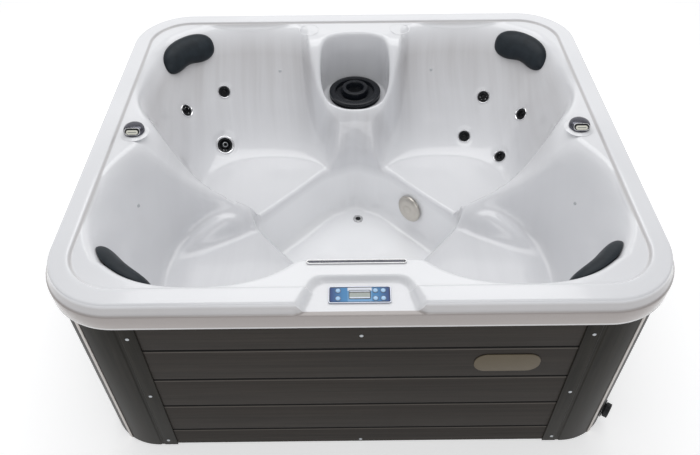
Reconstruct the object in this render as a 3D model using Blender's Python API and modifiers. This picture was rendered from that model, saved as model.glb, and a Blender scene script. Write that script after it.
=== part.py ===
"""Four-seat hot tub: moulded acrylic shell, clad cabinet, jets, filter and controls.

Metres, +Z up. The origin is at the bottom centre of the tub, +X to the right and
+Y to the back, with the control panel at the front.
"""
import math
from collections import namedtuple

import bmesh
import bpy
import numpy as np
from mathutils import Matrix, Vector

# Overall sizes: top edge of the rim, height, and corners in plan
RIM_LENGTH = 1.82
RIM_WIDTH = 1.60
RIM_CORNER = 0.215
TUB_HEIGHT = 0.83
HALF_LENGTH = RIM_LENGTH / 2
HALF_WIDTH = RIM_WIDTH / 2

# Fits: the gap between touching pieces, the gap under the moulded shell, and cut overrun
GAP = 0.0003
SHELL_EASE = 0.0006
OVERRUN = 0.02
MERGE = 0.00002

# Rim and rolled lip
SHELL_THICK = 0.008
BORDER_WIDTH = 0.056
BORDER_SLOPE = 0.010
BORDER_STEP = 0.009
LIP_DROP = 0.095
LIP_BAND = 0.036
LIP_PROUD = 0.015
LIP_FLARE = 0.010
LIP_ROUND = 0.008
DECK_Z = TUB_HEIGHT - BORDER_STEP

# Filter lid, and its place in from the rear rim
LID_RADIUS = 0.110
FILTER_BACK = 0.27
FILTER_Y = HALF_WIDTH - FILTER_BACK

Oval = namedtuple("Oval", "x y half_x half_y")


def in_plan(share_x, share_y):
    """A place in plan from its shares of the rim's half length and half width."""
    return share_x * HALF_LENGTH, share_y * HALF_WIDTH


def oval_in_plan(x, y, half_x, half_y):
    """An oval in plan from shares of the rim's half length and half width."""
    return Oval(*in_plan(x, y), *in_plan(half_x, half_y))


def mouth_in_plan(side, end, half_x, half_y, row):
    """A seat's mouth, set in from the side and the end of the rim, in the rear or front row."""
    wide, deep = in_plan(half_x, half_y)
    return Oval(HALF_LENGTH - side - wide, row * (HALF_WIDTH - end - deep), wide, deep)


# Seats of the right half, which the left half mirrors: their mouths at the deck and their
# pans below, with heights as shares of the tub's height
REAR_MOUTH_SIDE = 0.07
REAR_MOUTH_BACK = 0.05
FRONT_MOUTH_SIDE = 0.07
FRONT_MOUTH_EDGE = 0.08
REAR_MOUTH = mouth_in_plan(REAR_MOUTH_SIDE, REAR_MOUTH_BACK, 0.4286, 0.4875, 1)
FRONT_MOUTH = mouth_in_plan(FRONT_MOUTH_SIDE, FRONT_MOUTH_EDGE, 0.4066, 0.4500, -1)
REAR_PAN = oval_in_plan(0.3956, 0.1938, 0.2967, 0.2500)
REAR_PAN_Z = TUB_HEIGHT * 0.4337
REAR_SEAT_Z = TUB_HEIGHT * 0.4699
REAR_SEAT_SOFT = 0.10
FRONT_PAN = oval_in_plan(0.4945, -0.4500, 0.2747, 0.3125)
FRONT_PAN_Z = TUB_HEIGHT * 0.4578
FRONT_SEAT_Z = TUB_HEIGHT * 0.4940
FRONT_SEAT_SOFT = 0.09
SEAT_POWER = 2.4

# Filter well, sized to the lid, and the column that carries it between the rear seats
WELL_SIDE = 0.052
WELL_END = 0.037
WELL_OVAL = Oval(0.0, FILTER_Y, LID_RADIUS + WELL_SIDE, LID_RADIUS + WELL_END)
WELL_POWER = 2.6
WELL_Z = TUB_HEIGHT * 0.7108
WELL_LIP = 0.018
WELL_TOE = 0.010
WELL_DRAFT = 0.045
WELL_GATHER = 0.045
WELL_GATHER_POWER = 1.6
COLUMN_BACK = 0.08
COLUMN_SIDE = 0.050
COLUMN_REACH = 0.345
COLUMN_FLARE = 0.024
COLUMN_FRONT_FLARE = 0.070
COLUMN_CROWN = Oval(0.0, HALF_WIDTH - COLUMN_BACK, WELL_OVAL.half_x + COLUMN_SIDE, COLUMN_REACH)
COLUMN_FOOT = Oval(0.0, COLUMN_CROWN.y, COLUMN_CROWN.half_x + COLUMN_FLARE,
                   COLUMN_REACH + COLUMN_FRONT_FLARE)
COLUMN_POWER = 2.2
COLUMN_SOFT = 0.04
COLUMN_EDGE_SOFT = 0.035

# Saddle: the armrests falling from the side decks to the crossing beside the footwell
SADDLE_Z = TUB_HEIGHT * 0.5301
CROSSING_SIDE = HALF_LENGTH * 0.4945
CROSSING_Z = TUB_HEIGHT * 0.6024
CROSSING_SLOPE = 0.6
ARMREST_IN = 0.155
ARMREST_DROP = 0.011
ARMREST_SIDE = HALF_LENGTH - ARMREST_IN
ARMREST_Z = DECK_Z - ARMREST_DROP
ARMREST_SLOPE = 1.5
ARMREST_SOFT = 0.06
SADDLE_TO_FILTER = 0.304
SADDLE_BACK = FILTER_Y - SADDLE_TO_FILTER
SADDLE_BACK_RUN = 0.381
SADDLE_BACK_SLOPE = (DECK_Z - SADDLE_Z) / SADDLE_BACK_RUN
SADDLE_FRONT_EDGE = 0.24
SADDLE_FRONT = HALF_WIDTH - SADDLE_FRONT_EDGE
SADDLE_FRONT_SLOPE = 6.0
SADDLE_SOFT = 0.04
EDGE_SOFT = 0.02
SHEET_SOFT = 0.013
SHEET_SAMPLES = 8

# Wedge-shaped rise between the back bowl and the seat of each front place
WEDGE_CORNERS = (in_plan(0.4725, -0.1063), in_plan(0.6264, -0.1125), in_plan(0.7033, -0.2063),
                 in_plan(0.7692, -0.3438), in_plan(0.4725, -0.1063))
WEDGE_START = in_plan(0.5495, -0.1063)
WEDGE_RUN = in_plan(0.2198, -0.2375)
WEDGE_Z = TUB_HEIGHT * 0.6024
WEDGE_FALL = WEDGE_Z - FRONT_SEAT_Z
WEDGE_SLOPE = 2.4
WEDGE_SOFT = 0.03
WEDGE_CORNER_SOFT = 0.02

# Footwell: a four-sided well whose back corner is cut off square below the column
FOOT_TO_FILTER = 0.1066
FOOT_BACK = FILTER_Y - FOOT_TO_FILTER
FOOT_TRIM = 0.0884
FOOT_TRIM_Y = FOOT_BACK - FOOT_TRIM
FOOT_SIDE, FOOT_SIDE_Y = in_plan(0.4874, -0.0788)
FOOT_FRONT_EDGE = 0.22
FOOT_FRONT = FOOT_FRONT_EDGE - HALF_WIDTH
FOOT_CORNERS = ((0.0, FOOT_BACK), (FOOT_SIDE, FOOT_SIDE_Y), (0.0, FOOT_FRONT))
FOOT_CENTRE_Y = HALF_WIDTH * -0.1
FOOT_END_ROUND = 0.045
FOOT_CORNER_SOFT = 0.05
FOOT_Z = TUB_HEIGHT * 0.1928
FOOT_LIP = 0.018
FOOT_TOE = 0.045
FOOT_DRAFT = 0.06

# Control notch in the front rim
NOTCH_REACH = 0.11
NOTCH_PAST = 0.01
NOTCH_SINK = 0.018
NOTCH_BACK_Y = NOTCH_REACH - HALF_WIDTH
NOTCH_BACK_HALF = 0.137
NOTCH_FRONT_HALF = 0.188
NOTCH_FRONT_Y = -HALF_WIDTH - NOTCH_PAST
NOTCH_Z = DECK_Z - NOTCH_SINK
NOTCH_FALL = 0.10
NOTCH_CORNER_SOFT = 0.03
NOTCH_LIP = 0.010
NOTCH_TOE = 0.010
NOTCH_DRAFT = 0.5

# Mesh density of the shell
SHELL_SPOKES = 400
FLOOR_RINGS = 6
WALL_RINGS = 12
SEAT_RINGS = 80
SHELL_KEEP = 0.029

# Cabinet
CABINET_SIDE_INSET = 0.003
CABINET_END_INSET = 0.022
CABINET_CORNER = 0.19
CABINET_BELOW = 0.078
CABINET_TOP = TUB_HEIGHT - CABINET_BELOW
CABINET_FOOT = 0.006
PANEL_THICK = 0.014
BOARD_PITCH = 0.159
TOP_BOARD = 0.172
TOP_BOARD_Z = CABINET_TOP - TOP_BOARD
GROOVE_WIDTH = 0.007
GROOVE_DEPTH = 0.004
CABINET_X = HALF_LENGTH - CABINET_SIDE_INSET
CABINET_Y = HALF_WIDTH - CABINET_END_INSET
PANEL_HALF_X = CABINET_X - CABINET_CORNER
PANEL_HALF_Y = CABINET_Y - CABINET_CORNER

# Corner covers, with a flange over the end of each panel, and their trim strips
COVER_THICK = 0.004
COVER_FLANGE = 0.063
COVER_STEPS = 9
COVER_FOOT = 0.002
TRIM_WIDTH = 0.016
TRIM_THICK = 0.003
TRIM_ROUND = 0.001
TRIM_FLAT = 3

# Base tray
TRAY_HEIGHT = 0.06
TRAY_WALL = 0.004
TRAY_FLOOR = 0.006

# Steel frame of square tube
TUBE = 0.025
RING_BELOW = 0.136
RING_TOP = DECK_Z - RING_BELOW
POST_INSET = 0.032
CRADLE_SIDE = 0.22
CRADLE_Y = 0.12
FRAME_CORNER_STEPS = 3
BRACE_SIDE = 0.33

# Pillows
PILLOW_HALF = 0.148
PILLOW_TALL = 0.130
PILLOW_THICK = 0.040
PILLOW_BACK = 0.004
PILLOW_TOP_DROP = 0.012
PILLOW_PINCH = 0.12
PILLOW_PINCH_SPREAD = 2.4
PILLOW_SQUARE = 0.82
PILLOW_EASE = 0.0006
REAR_PILLOW_ANGLE = math.radians(45.5)
FRONT_PILLOW_ANGLE = math.radians(-47.0)
PILLOW_LEVELS = 3

# Filter
LID_EDGE = 0.014
LID_CHANNEL = 0.083
LID_HUB = 0.055
LID_HOLE = 0.038
LID_TALL = 0.044
CANISTER_RADIUS = 0.082
CANISTER_WALL = 0.003
CANISTER_FLANGE = 0.093
CANISTER_FLANGE_THICK = 0.003
CANISTER_DEPTH = 0.34
CARTRIDGE_RADIUS = 0.070
CARTRIDGE_CORE = 0.026
CARTRIDGE_PLEATS = 20
CARTRIDGE_PLEAT_DEPTH = 0.012
CARTRIDGE_CAP = 0.012
CARTRIDGE_CLEAR = 0.012

# Diverters
DIVERTER_RING = 0.0505
DIVERTER_MARGIN = 0.0105
DIVERTER_SIDE = HALF_LENGTH - BORDER_WIDTH - BORDER_SLOPE - DIVERTER_RING - DIVERTER_MARGIN
DIVERTER_Y = HALF_WIDTH * -0.0275
DIVERTER_RING_THICK = 0.005
KNOB_RADIUS = 0.040
KNOB_HEIGHT = 0.026
KNOB_GRIP_LENGTH = 0.050
KNOB_GRIP_WIDTH = 0.020
KNOB_GRIP_HEIGHT = 0.008
VALVE_RADIUS = 0.027
VALVE_LENGTH = 0.115
SPINDLE_RADIUS = 0.008
SPINDLE_LENGTH = 0.014

# Jets: plan places on the shell, small jets first
SMALL_JET_PLACES = (in_plan(-0.6231, 0.6813), in_plan(-0.7791, 0.5225), in_plan(0.6132, 0.6550),
                    in_plan(0.7681, 0.5013), in_plan(0.5242, 0.5238), in_plan(0.6780, 0.3825))
LARGE_JET_PLACE = in_plan(-0.6209, 0.4775)
Jet = namedtuple("Jet", "face bore body length seat")
SMALL_JET = Jet(0.029, 0.0125, 0.019, 0.055, 0.0025)
LARGE_JET = Jet(0.041, 0.020, 0.029, 0.075, 0.005)
JET_FACE_THICK = 0.005
JET_WALL = 0.0022
JET_SPIGOT = 0.016
JET_NUT = 0.006
JET_NUT_PROUD = 0.008
JET_PORT_RADIUS = 0.007
JET_PORT_LENGTH = 0.020
NOZZLE_BORE = 0.008
NOZZLE_SINK = 0.010
NOZZLE_ARCS = 6

# Suction fitting on the right-hand wall of the footwell
SUCTION_ALONG = math.hypot(FOOT_SIDE, FOOT_BACK - FOOT_SIDE_Y) * 0.5638
SUCTION_LIFT = 0.017
SUCTION_Z = (FOOT_Z + REAR_SEAT_Z) / 2 + SUCTION_LIFT
SUCTION_RADIUS = 0.0595
SUCTION_PROUD = 0.026
SUCTION_STEM = 0.030
SUCTION_DEPTH = 0.060
SUCTION_SLOTS = 16
SUCTION_SEAT = 0.002

# Floor drain
DRAIN_X = 0.009
DRAIN_TO_BACK = 0.2214
DRAIN_PLACE = (DRAIN_X, FOOT_BACK - DRAIN_TO_BACK)
DRAIN_RADIUS = 0.022
DRAIN_STEM = 0.016
DRAIN_LENGTH = 0.022
DRAIN_HOLES = 6

# Waterfall spout
FALL_X = -0.0105
FALL_EDGE = 0.155
FALL_Y = FALL_EDGE - HALF_WIDTH
FALL_LENGTH = 0.290
FALL_WIDTH = 0.016
FALL_FRAME = 0.0035
FALL_PROUD = 0.004
FALL_DEPTH = 0.045

# Control panel
PANEL_X = -0.003
PANEL_EDGE = 0.052
PANEL_Y = PANEL_EDGE - HALF_WIDTH
PANEL_LENGTH = 0.178
PANEL_WIDTH = 0.064
PANEL_PROUD = 0.004
PANEL_BOX_DEPTH = 0.028
PANEL_BOX_MARGIN = 0.010
PANEL_ROUND = 0.006
WINDOW_LENGTH = 0.058
WINDOW_WIDTH = 0.026
WINDOW_DEPTH = 0.003
BUTTON_RADIUS = 0.0068
BUTTON_HEIGHT = 0.0045
BUTTON_WELL = 0.0035
BUTTON_PLACES = ((-0.061, 0.013), (-0.061, -0.013), (0.044, 0.013),
                 (0.044, -0.013), (0.066, 0.013), (0.066, -0.013))

# Drain valve, on one flat of the front right corner cover, above the tray
TAP_FLAT = 3
TAP_ABOVE = 0.020
TAP_Z = TRAY_HEIGHT + TAP_ABOVE
TAP_FLANGE = 0.034
TAP_FLANGE_THICK = 0.004
TAP_BARREL = 0.016
TAP_BARREL_LENGTH = 0.016
TAP_STEM = 0.012
TAP_CAP = 0.027
TAP_CAP_LENGTH = 0.020
TAP_TAIL = 0.033
TAP_RIBS = 12

# Machinery under the front seats
PUMP_SIDE = 0.35
PUMP_EDGE = 0.30
PUMP_X = PUMP_SIDE - HALF_LENGTH
PUMP_Y = PUMP_EDGE - HALF_WIDTH
PUMP_Z = 0.125
MOTOR_RADIUS = 0.062
MOTOR_LENGTH = 0.19
MOTOR_FINS = 14
MOTOR_FIN_DEPTH = 0.006
VOLUTE_RADIUS = 0.078
VOLUTE_LENGTH = 0.085
PUMP_PORT_RADIUS = 0.024
PUMP_PORT_LENGTH = 0.05
PUMP_FOOT_HALF = 0.055
PUMP_FOOT_THICK = 0.010
BOX_SIDE = 0.39
BOX_EDGE = 0.20
BOX_X = HALF_LENGTH - BOX_SIDE
BOX_Y = BOX_EDGE - HALF_WIDTH
BOX_LENGTH = 0.28
BOX_WIDTH = 0.11
BOX_HEIGHT = 0.21
BOX_ROUND = 0.008
HEATER_RADIUS = 0.030
HEATER_LENGTH = 0.30
HEATER_UNION = 0.038
HEATER_UNION_LENGTH = 0.028
HEATER_CRADLE = 0.012

ROUND_STEPS = 24
SMALL_STEPS = 16
JET_STEPS = 12

Finish = namedtuple("Finish", "name colour roughness metallic")
ACRYLIC = Finish("pearl_acrylic", (0.80, 0.81, 0.83), 0.12, 0.0)
BOARDS = Finish("brown_grey_boards", (0.060, 0.050, 0.044), 0.55, 0.0)
COVER = Finish("dark_corner_cover", (0.048, 0.046, 0.040), 0.45, 0.0)
TRIM = Finish("light_trim", (0.40, 0.37, 0.34), 0.35, 0.3)
BLACK = Finish("black_plastic", (0.018, 0.018, 0.020), 0.40, 0.0)
STEEL = Finish("galvanised_steel", (0.46, 0.47, 0.48), 0.45, 0.9)
CHROME = Finish("chrome", (0.75, 0.75, 0.76), 0.10, 1.0)
NICKEL = Finish("satin_nickel", (0.52, 0.49, 0.44), 0.28, 0.9)
FOAM = Finish("slate_pillow", (0.035, 0.045, 0.055), 0.50, 0.0)
PAPER = Finish("filter_paper", (0.78, 0.80, 0.82), 0.80, 0.0)
WHITE = Finish("white_plastic", (0.75, 0.75, 0.74), 0.35, 0.0)
WINDOW = Finish("display_window", (0.30, 0.33, 0.30), 0.15, 0.0)
BUTTON = Finish("blue_button", (0.32, 0.45, 0.66), 0.30, 0.0)
MOTOR = Finish("motor_paint", (0.05, 0.06, 0.08), 0.45, 0.4)


def soft_max(first, second, reach):
    """The larger of two heights, with a rounded join of the given reach."""
    share = np.clip(0.5 + 0.5 * (first - second) / reach, 0.0, 1.0)
    return second + (first - second) * share + reach * share * (1.0 - share)


def soft_min(first, second, reach):
    """The smaller of two heights, with a rounded join of the given reach."""
    return -soft_max(-first, -second, reach)


def loft_height(x, y, inner, outer, inner_z, outer_z, power):
    """Height of a wall lofted from an inner oval to an outer one, flat inside the inner."""
    low = np.zeros_like(x)
    high = np.full_like(x, 1.6)
    for _ in range(24):
        middle = (low + high) / 2
        half_x = np.maximum(inner.half_x + (outer.half_x - inner.half_x) * middle, MERGE)
        half_y = np.maximum(inner.half_y + (outer.half_y - inner.half_y) * middle, MERGE)
        across = np.abs(x - inner.x - (outer.x - inner.x) * middle) / half_x
        along = np.abs(y - inner.y - (outer.y - inner.y) * middle) / half_y
        outside = across ** power + along ** power > 1.0
        low = np.where(outside, middle, low)
        high = np.where(outside, high, middle)
    return inner_z + (outer_z - inner_z) * high


def depth_inside(x, y, corners, rounding):
    """Distance inside an outline whose corners run clockwise, with its corners rounded."""
    depth = None
    for start, end in zip(corners, corners[1:]):
        run_x = end[0] - start[0]
        run_y = end[1] - start[1]
        run = math.hypot(run_x, run_y)
        across = (run_y * (x - start[0]) - run_x * (y - start[1])) / run
        depth = across if depth is None else soft_min(depth, across, rounding)
    return depth


def wall_drop(depth, top, floor, lip, toe, draft):
    """Height of a drafted wall with a rounded lip and toe, by the distance inside its edge."""
    lean = math.atan(draft)
    height = np.maximum(top - floor, MERGE)
    share = np.minimum(1.0, height / ((lip + toe) * (1.0 - math.sin(lean))))
    lip = lip * share
    toe = toe * share
    lip_run = lip * math.cos(lean)
    toe_run = toe * math.cos(lean)
    lip_fall = lip * (1.0 - math.sin(lean))
    toe_fall = toe * (1.0 - math.sin(lean))
    wall_run = np.maximum(top - floor - lip_fall - toe_fall, 0.0) * draft
    at_lip = top - lip + np.sqrt(np.clip(lip * lip - depth * depth, 0.0, None))
    on_wall = top - lip_fall - (depth - lip_run) / draft
    rest = np.clip(lip_run + wall_run + toe_run - depth, 0.0, None)
    at_toe = floor + toe - np.sqrt(np.clip(toe * toe - rest * rest, 0.0, None))
    lower = np.where(depth < lip_run + wall_run, on_wall, at_toe)
    inside = np.where(depth < lip_run, at_lip, lower)
    return np.where(depth <= 0.0, top, np.minimum(inside, top))


def saddle_height(side, y):
    """The armrests and the crossing, and the inner faces of the front and back decks."""
    crossing = CROSSING_Z + (side - CROSSING_SIDE) * CROSSING_SLOPE
    armrest = ARMREST_Z + (side - ARMREST_SIDE) * ARMREST_SLOPE
    ramp = soft_max(crossing, armrest, ARMREST_SOFT)
    back = back_height(y)
    front = SADDLE_Z + (-SADDLE_FRONT - y) * SADDLE_FRONT_SLOPE
    floor = soft_max(np.full_like(side, SADDLE_Z), ramp, SADDLE_SOFT)
    return soft_max(floor, soft_max(back, front, EDGE_SOFT), SADDLE_SOFT)


def back_height(y):
    """The slope that rises from the crossing to the rear deck and caps the column."""
    return SADDLE_Z + (y - SADDLE_BACK) * SADDLE_BACK_SLOPE


def rear_seat_height(side, y):
    bowl = loft_height(side, y, REAR_PAN, REAR_MOUTH, REAR_PAN_Z, DECK_Z, SEAT_POWER)
    return soft_max(bowl, np.full_like(side, REAR_SEAT_Z), REAR_SEAT_SOFT)


def front_seat_height(side, y):
    bowl = loft_height(side, y, FRONT_PAN, FRONT_MOUTH, FRONT_PAN_Z, DECK_Z, SEAT_POWER)
    seat = soft_max(bowl, np.full_like(side, FRONT_SEAT_Z), FRONT_SEAT_SOFT)
    across = (side - WEDGE_START[0]) * WEDGE_RUN[0] + (y - WEDGE_START[1]) * WEDGE_RUN[1]
    along = np.clip(across / (WEDGE_RUN[0] ** 2 + WEDGE_RUN[1] ** 2), 0.0, 1.0)
    spread = depth_inside(side, y, WEDGE_CORNERS, WEDGE_CORNER_SOFT)
    slope = soft_min(np.zeros_like(side), spread, WEDGE_CORNER_SOFT)
    wedge = WEDGE_Z - WEDGE_FALL * along + WEDGE_SLOPE * slope
    return soft_max(seat, wedge, WEDGE_SOFT)


def column_height(side, y):
    column = loft_height(side, y, COLUMN_CROWN, COLUMN_FOOT, DECK_Z, REAR_SEAT_Z, COLUMN_POWER)
    return soft_min(column, back_height(y), COLUMN_EDGE_SOFT)


def foot_depth(x, y):
    """Distance inside the footwell's top edge."""
    side = np.sqrt(x * x + FOOT_END_ROUND ** 2)
    depth = depth_inside(side, y, FOOT_CORNERS, FOOT_CORNER_SOFT)
    return soft_min(depth, FOOT_TRIM_Y - y, FOOT_CORNER_SOFT)


def well_depth(side, y):
    """Distance inside the filter well's top edge."""
    across = (side / WELL_OVAL.half_x) ** WELL_POWER
    along = np.abs((y - WELL_OVAL.y) / WELL_OVAL.half_y) ** WELL_POWER
    return (1.0 - (across + along) ** (1.0 / WELL_POWER)) * WELL_OVAL.half_x


def gathered(x, y):
    """Move grid points near the filter well's wall so that more of them lie on it."""
    step = GAP
    depth = well_depth(np.abs(x), y)
    slope_x = (well_depth(np.abs(x + step), y) - well_depth(np.abs(x - step), y)) / (2 * step)
    slope_y = (well_depth(np.abs(x), y + step) - well_depth(np.abs(x), y - step)) / (2 * step)
    steep = np.maximum(slope_x ** 2 + slope_y ** 2, MERGE)
    middle = (WELL_LIP + WELL_TOE + (DECK_Z - WELL_Z) * WELL_DRAFT) / 2
    share = np.clip((depth - middle) / WELL_GATHER, -1.0, 1.0)
    wanted = middle + WELL_GATHER * np.sign(share) * np.abs(share) ** WELL_GATHER_POWER
    move = np.where(np.abs(share) < 1.0, wanted - depth, 0.0) / steep
    return x + move * slope_x, y + move * slope_y


def notch_depth(side, y):
    """Distance inside the control notch, which stays open to the front."""
    splay = (NOTCH_FRONT_HALF - NOTCH_BACK_HALF) / (NOTCH_BACK_Y - NOTCH_FRONT_Y)
    flank = (NOTCH_BACK_HALF + (NOTCH_BACK_Y - y) * splay - side) / math.hypot(1.0, splay)
    return soft_min(flank, NOTCH_BACK_Y - y, NOTCH_CORNER_SOFT)


def notch_floor(y):
    return NOTCH_Z + (y - NOTCH_BACK_Y) * NOTCH_FALL


def notched(x, y, top):
    floor = notch_floor(y)
    cut = wall_drop(notch_depth(np.abs(x), y), top, floor, NOTCH_LIP, NOTCH_TOE, NOTCH_DRAFT)
    return np.where(top > floor, cut, top)


def formed_height(side, y):
    """Height of the seats, armrests, column and decks, before the wells are sunk."""
    seats = soft_min(rear_seat_height(side, y), front_seat_height(side, y), EDGE_SOFT)
    body = soft_min(seats, saddle_height(side, y), WEDGE_SOFT)
    body = soft_max(body, column_height(side, y), COLUMN_SOFT)
    return soft_min(body, np.full_like(side, DECK_Z), EDGE_SOFT)


def mould_height(x, y):
    """Height of the shell's upper face inside the raised border, its bends eased."""
    side = np.abs(x)
    spots = circle_points(SHEET_SOFT, SHEET_SAMPLES)
    body = sum(formed_height(np.abs(x + dx), y + dy) for dx, dy in spots) / SHEET_SAMPLES
    body = wall_drop(well_depth(side, y), body, WELL_Z, WELL_LIP, WELL_TOE, WELL_DRAFT)
    body = wall_drop(foot_depth(x, y), body, FOOT_Z, FOOT_LIP, FOOT_TOE, FOOT_DRAFT)
    return notched(x, y, body)


def mould_point(x, y):
    """The point of the shell's upper face at a place in plan, and the face's normal."""
    step = GAP
    spots_x = np.array([x, x + step, x - step, x, x])
    spots_y = np.array([y, y, y, y + step, y - step])
    heights = mould_height(spots_x, spots_y)
    slope_x = (heights[1] - heights[2]) / (2 * step)
    slope_y = (heights[3] - heights[4]) / (2 * step)
    return Vector((x, y, heights[0])), Vector((-slope_x, -slope_y, 1.0)).normalized()


def rounded_rectangle(half_x, half_y, radius, steps):
    """Corner points of a rectangle with round corners, anticlockwise from the right side."""
    points = []
    for quarter, (sign_x, sign_y) in enumerate(((1, 1), (-1, 1), (-1, -1), (1, -1))):
        for step in range(steps + 1):
            turn = math.pi / 2 * (quarter + step / steps)
            points.append((sign_x * (half_x - radius) + radius * math.cos(turn),
                           sign_y * (half_y - radius) + radius * math.sin(turn)))
    return points


def along_outline(points, shares):
    """Points at the given shares of the way round a closed outline."""
    ring = np.array(points + points[:1])
    lengths = np.hypot(*np.diff(ring, axis=0).T)
    travelled = np.concatenate(([0.0], np.cumsum(lengths)))
    wanted = shares * travelled[-1]
    return np.interp(wanted, travelled, ring[:, 0]), np.interp(wanted, travelled, ring[:, 1])


def rim_outline(shares, inset):
    """Plan outline of the rim, moved inwards by an inset, read at even shares of its length."""
    radius = max(RIM_CORNER - inset, MERGE)
    fine = rounded_rectangle(HALF_LENGTH - inset, HALF_WIDTH - inset, radius, 24)
    return along_outline(fine, shares)


def foot_ring(direction_x, direction_y, depth):
    """Plan ring where the footwell is the given depth inside its edge, along each spoke."""
    low = np.zeros_like(direction_x)
    high = np.full_like(direction_x, HALF_LENGTH)
    for _ in range(30):
        middle = (low + high) / 2
        inside = foot_depth(direction_x * middle, FOOT_CENTRE_Y + direction_y * middle) > depth
        low = np.where(inside, middle, low)
        high = np.where(inside, high, middle)
    return direction_x * low, FOOT_CENTRE_Y + direction_y * low


def lip_profile():
    """Inset and height of the rolled lip's rings, from the deck out and down."""
    inner = BORDER_WIDTH + BORDER_SLOPE
    middle_z = TUB_HEIGHT - LIP_BAND
    bottom_z = TUB_HEIGHT - LIP_DROP
    return ((inner, DECK_Z),
            (BORDER_WIDTH + BORDER_SLOPE / 2, DECK_Z + BORDER_STEP / 2),
            (BORDER_WIDTH, TUB_HEIGHT),
            (BORDER_WIDTH / 2, TUB_HEIGHT),
            (LIP_ROUND, TUB_HEIGHT),
            (0.0, TUB_HEIGHT - LIP_ROUND),
            (-LIP_FLARE, middle_z),
            (-LIP_PROUD, middle_z - LIP_ROUND),
            (-LIP_PROUD, bottom_z))


def shell_rings():
    """Every ring of the shell's upper face, from its middle out, as rows of x, y and z."""
    shares = np.linspace(0.0, 1.0, SHELL_SPOKES + 1)
    edge_x, edge_y = rim_outline(shares, BORDER_WIDTH + BORDER_SLOPE)
    reach = np.hypot(edge_x, edge_y - FOOT_CENTRE_Y)
    spoke_x = edge_x / reach
    spoke_y = (edge_y - FOOT_CENTRE_Y) / reach
    wall = (REAR_SEAT_Z - FOOT_Z) * FOOT_DRAFT + FOOT_LIP + FOOT_TOE
    plan = []
    toe_x, toe_y = foot_ring(spoke_x, spoke_y, wall)
    for ring in range(FLOOR_RINGS):
        share = ring / FLOOR_RINGS
        plan.append((toe_x * share, FOOT_CENTRE_Y + (toe_y - FOOT_CENTRE_Y) * share))
    for ring in range(WALL_RINGS):
        plan.append(foot_ring(spoke_x, spoke_y, wall * (1.0 - ring / WALL_RINGS)))
    lip_x, lip_y = foot_ring(spoke_x, spoke_y, 0.0)
    for ring in range(SEAT_RINGS):
        share = ring / SEAT_RINGS
        plan.append(gathered(lip_x + (edge_x - lip_x) * share, lip_y + (edge_y - lip_y) * share))
    rows = [np.stack((x, y, mould_height(x, y)), axis=1) for x, y in plan]
    for inset, height in lip_profile():
        x, y = rim_outline(shares, inset)
        rows.append(np.stack((x, y, notched(x, y, np.full_like(x, height))), axis=1))
    return rows


def clear_scene():
    for thing in list(bpy.data.objects):
        bpy.data.objects.remove(thing)


def make_collection(name):
    group = bpy.data.collections.new(name)
    bpy.context.scene.collection.children.link(group)
    return group


def material_for(finish):
    known = bpy.data.materials.get(finish.name)
    if known:
        return known
    material = bpy.data.materials.new(finish.name)
    material.use_nodes = True
    shader = material.node_tree.nodes["Principled BSDF"]
    shader.inputs["Base Color"].default_value = (*finish.colour, 1.0)
    shader.inputs["Roughness"].default_value = finish.roughness
    shader.inputs["Metallic"].default_value = finish.metallic
    material.diffuse_color = (*finish.colour, 1.0)
    return material


def put(name, mesh, finish, group):
    """Link a mesh as a named piece of the tub, or as a hidden cutter where it has no finish."""
    thing = bpy.data.objects.new(name, mesh)
    group.objects.link(thing)
    if finish is None:
        thing.hide_render = True
        thing.display_type = "WIRE"
    else:
        mesh.materials.append(material_for(finish))
    return thing


def box(name, low, high, finish, group, bevel=0.0):
    mesh = bpy.data.meshes.new(name)
    shape = bmesh.new()
    bmesh.ops.create_cube(shape, size=1.0)
    low = Vector(low)
    high = Vector(high)
    bmesh.ops.scale(shape, vec=high - low, verts=shape.verts)
    shape.to_mesh(mesh)
    shape.free()
    thing = put(name, mesh, finish, group)
    thing.location = (low + high) / 2
    if bevel > 0.0:
        edge = thing.modifiers.new("Round edges", "BEVEL")
        edge.width = bevel
        edge.segments = 1
    return thing


def turned(name, outline, finish, group, steps=ROUND_STEPS, closed=False):
    """A turned piece about its own Z, from (radius, height) points that run down its outside."""
    mesh = bpy.data.meshes.new(name)
    shape = bmesh.new()
    corners = [shape.verts.new((radius, 0.0, height)) for radius, height in outline]
    ends = corners[1:] + corners[:1] if closed else corners[1:]
    for start, end in zip(corners, ends):
        shape.edges.new((start, end))
    shape.to_mesh(mesh)
    shape.free()
    thing = put(name, mesh, finish, group)
    screw = thing.modifiers.new("Turn", "SCREW")
    screw.axis = "Z"
    screw.steps = steps
    screw.render_steps = steps
    screw.use_merge_vertices = True
    screw.merge_threshold = MERGE
    return thing


def prism(name, outlines, thickness, finish, group):
    """A flat outline in its own XY plane, with any holes after it, drawn out to both sides."""
    curve = bpy.data.curves.new(name, "CURVE")
    curve.dimensions = "2D"
    curve.fill_mode = "BOTH"
    curve.extrude = thickness / 2
    for outline in outlines:
        spline = curve.splines.new("POLY")
        spline.points.add(len(outline) - 1)
        for point, (x, y) in zip(spline.points, outline):
            point.co = (x, y, 0.0, 1.0)
        spline.use_cyclic_u = True
    drawn = bpy.data.objects.new(name, curve)
    bpy.context.scene.collection.objects.link(drawn)
    return meshed(drawn, name, finish, group)


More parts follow.
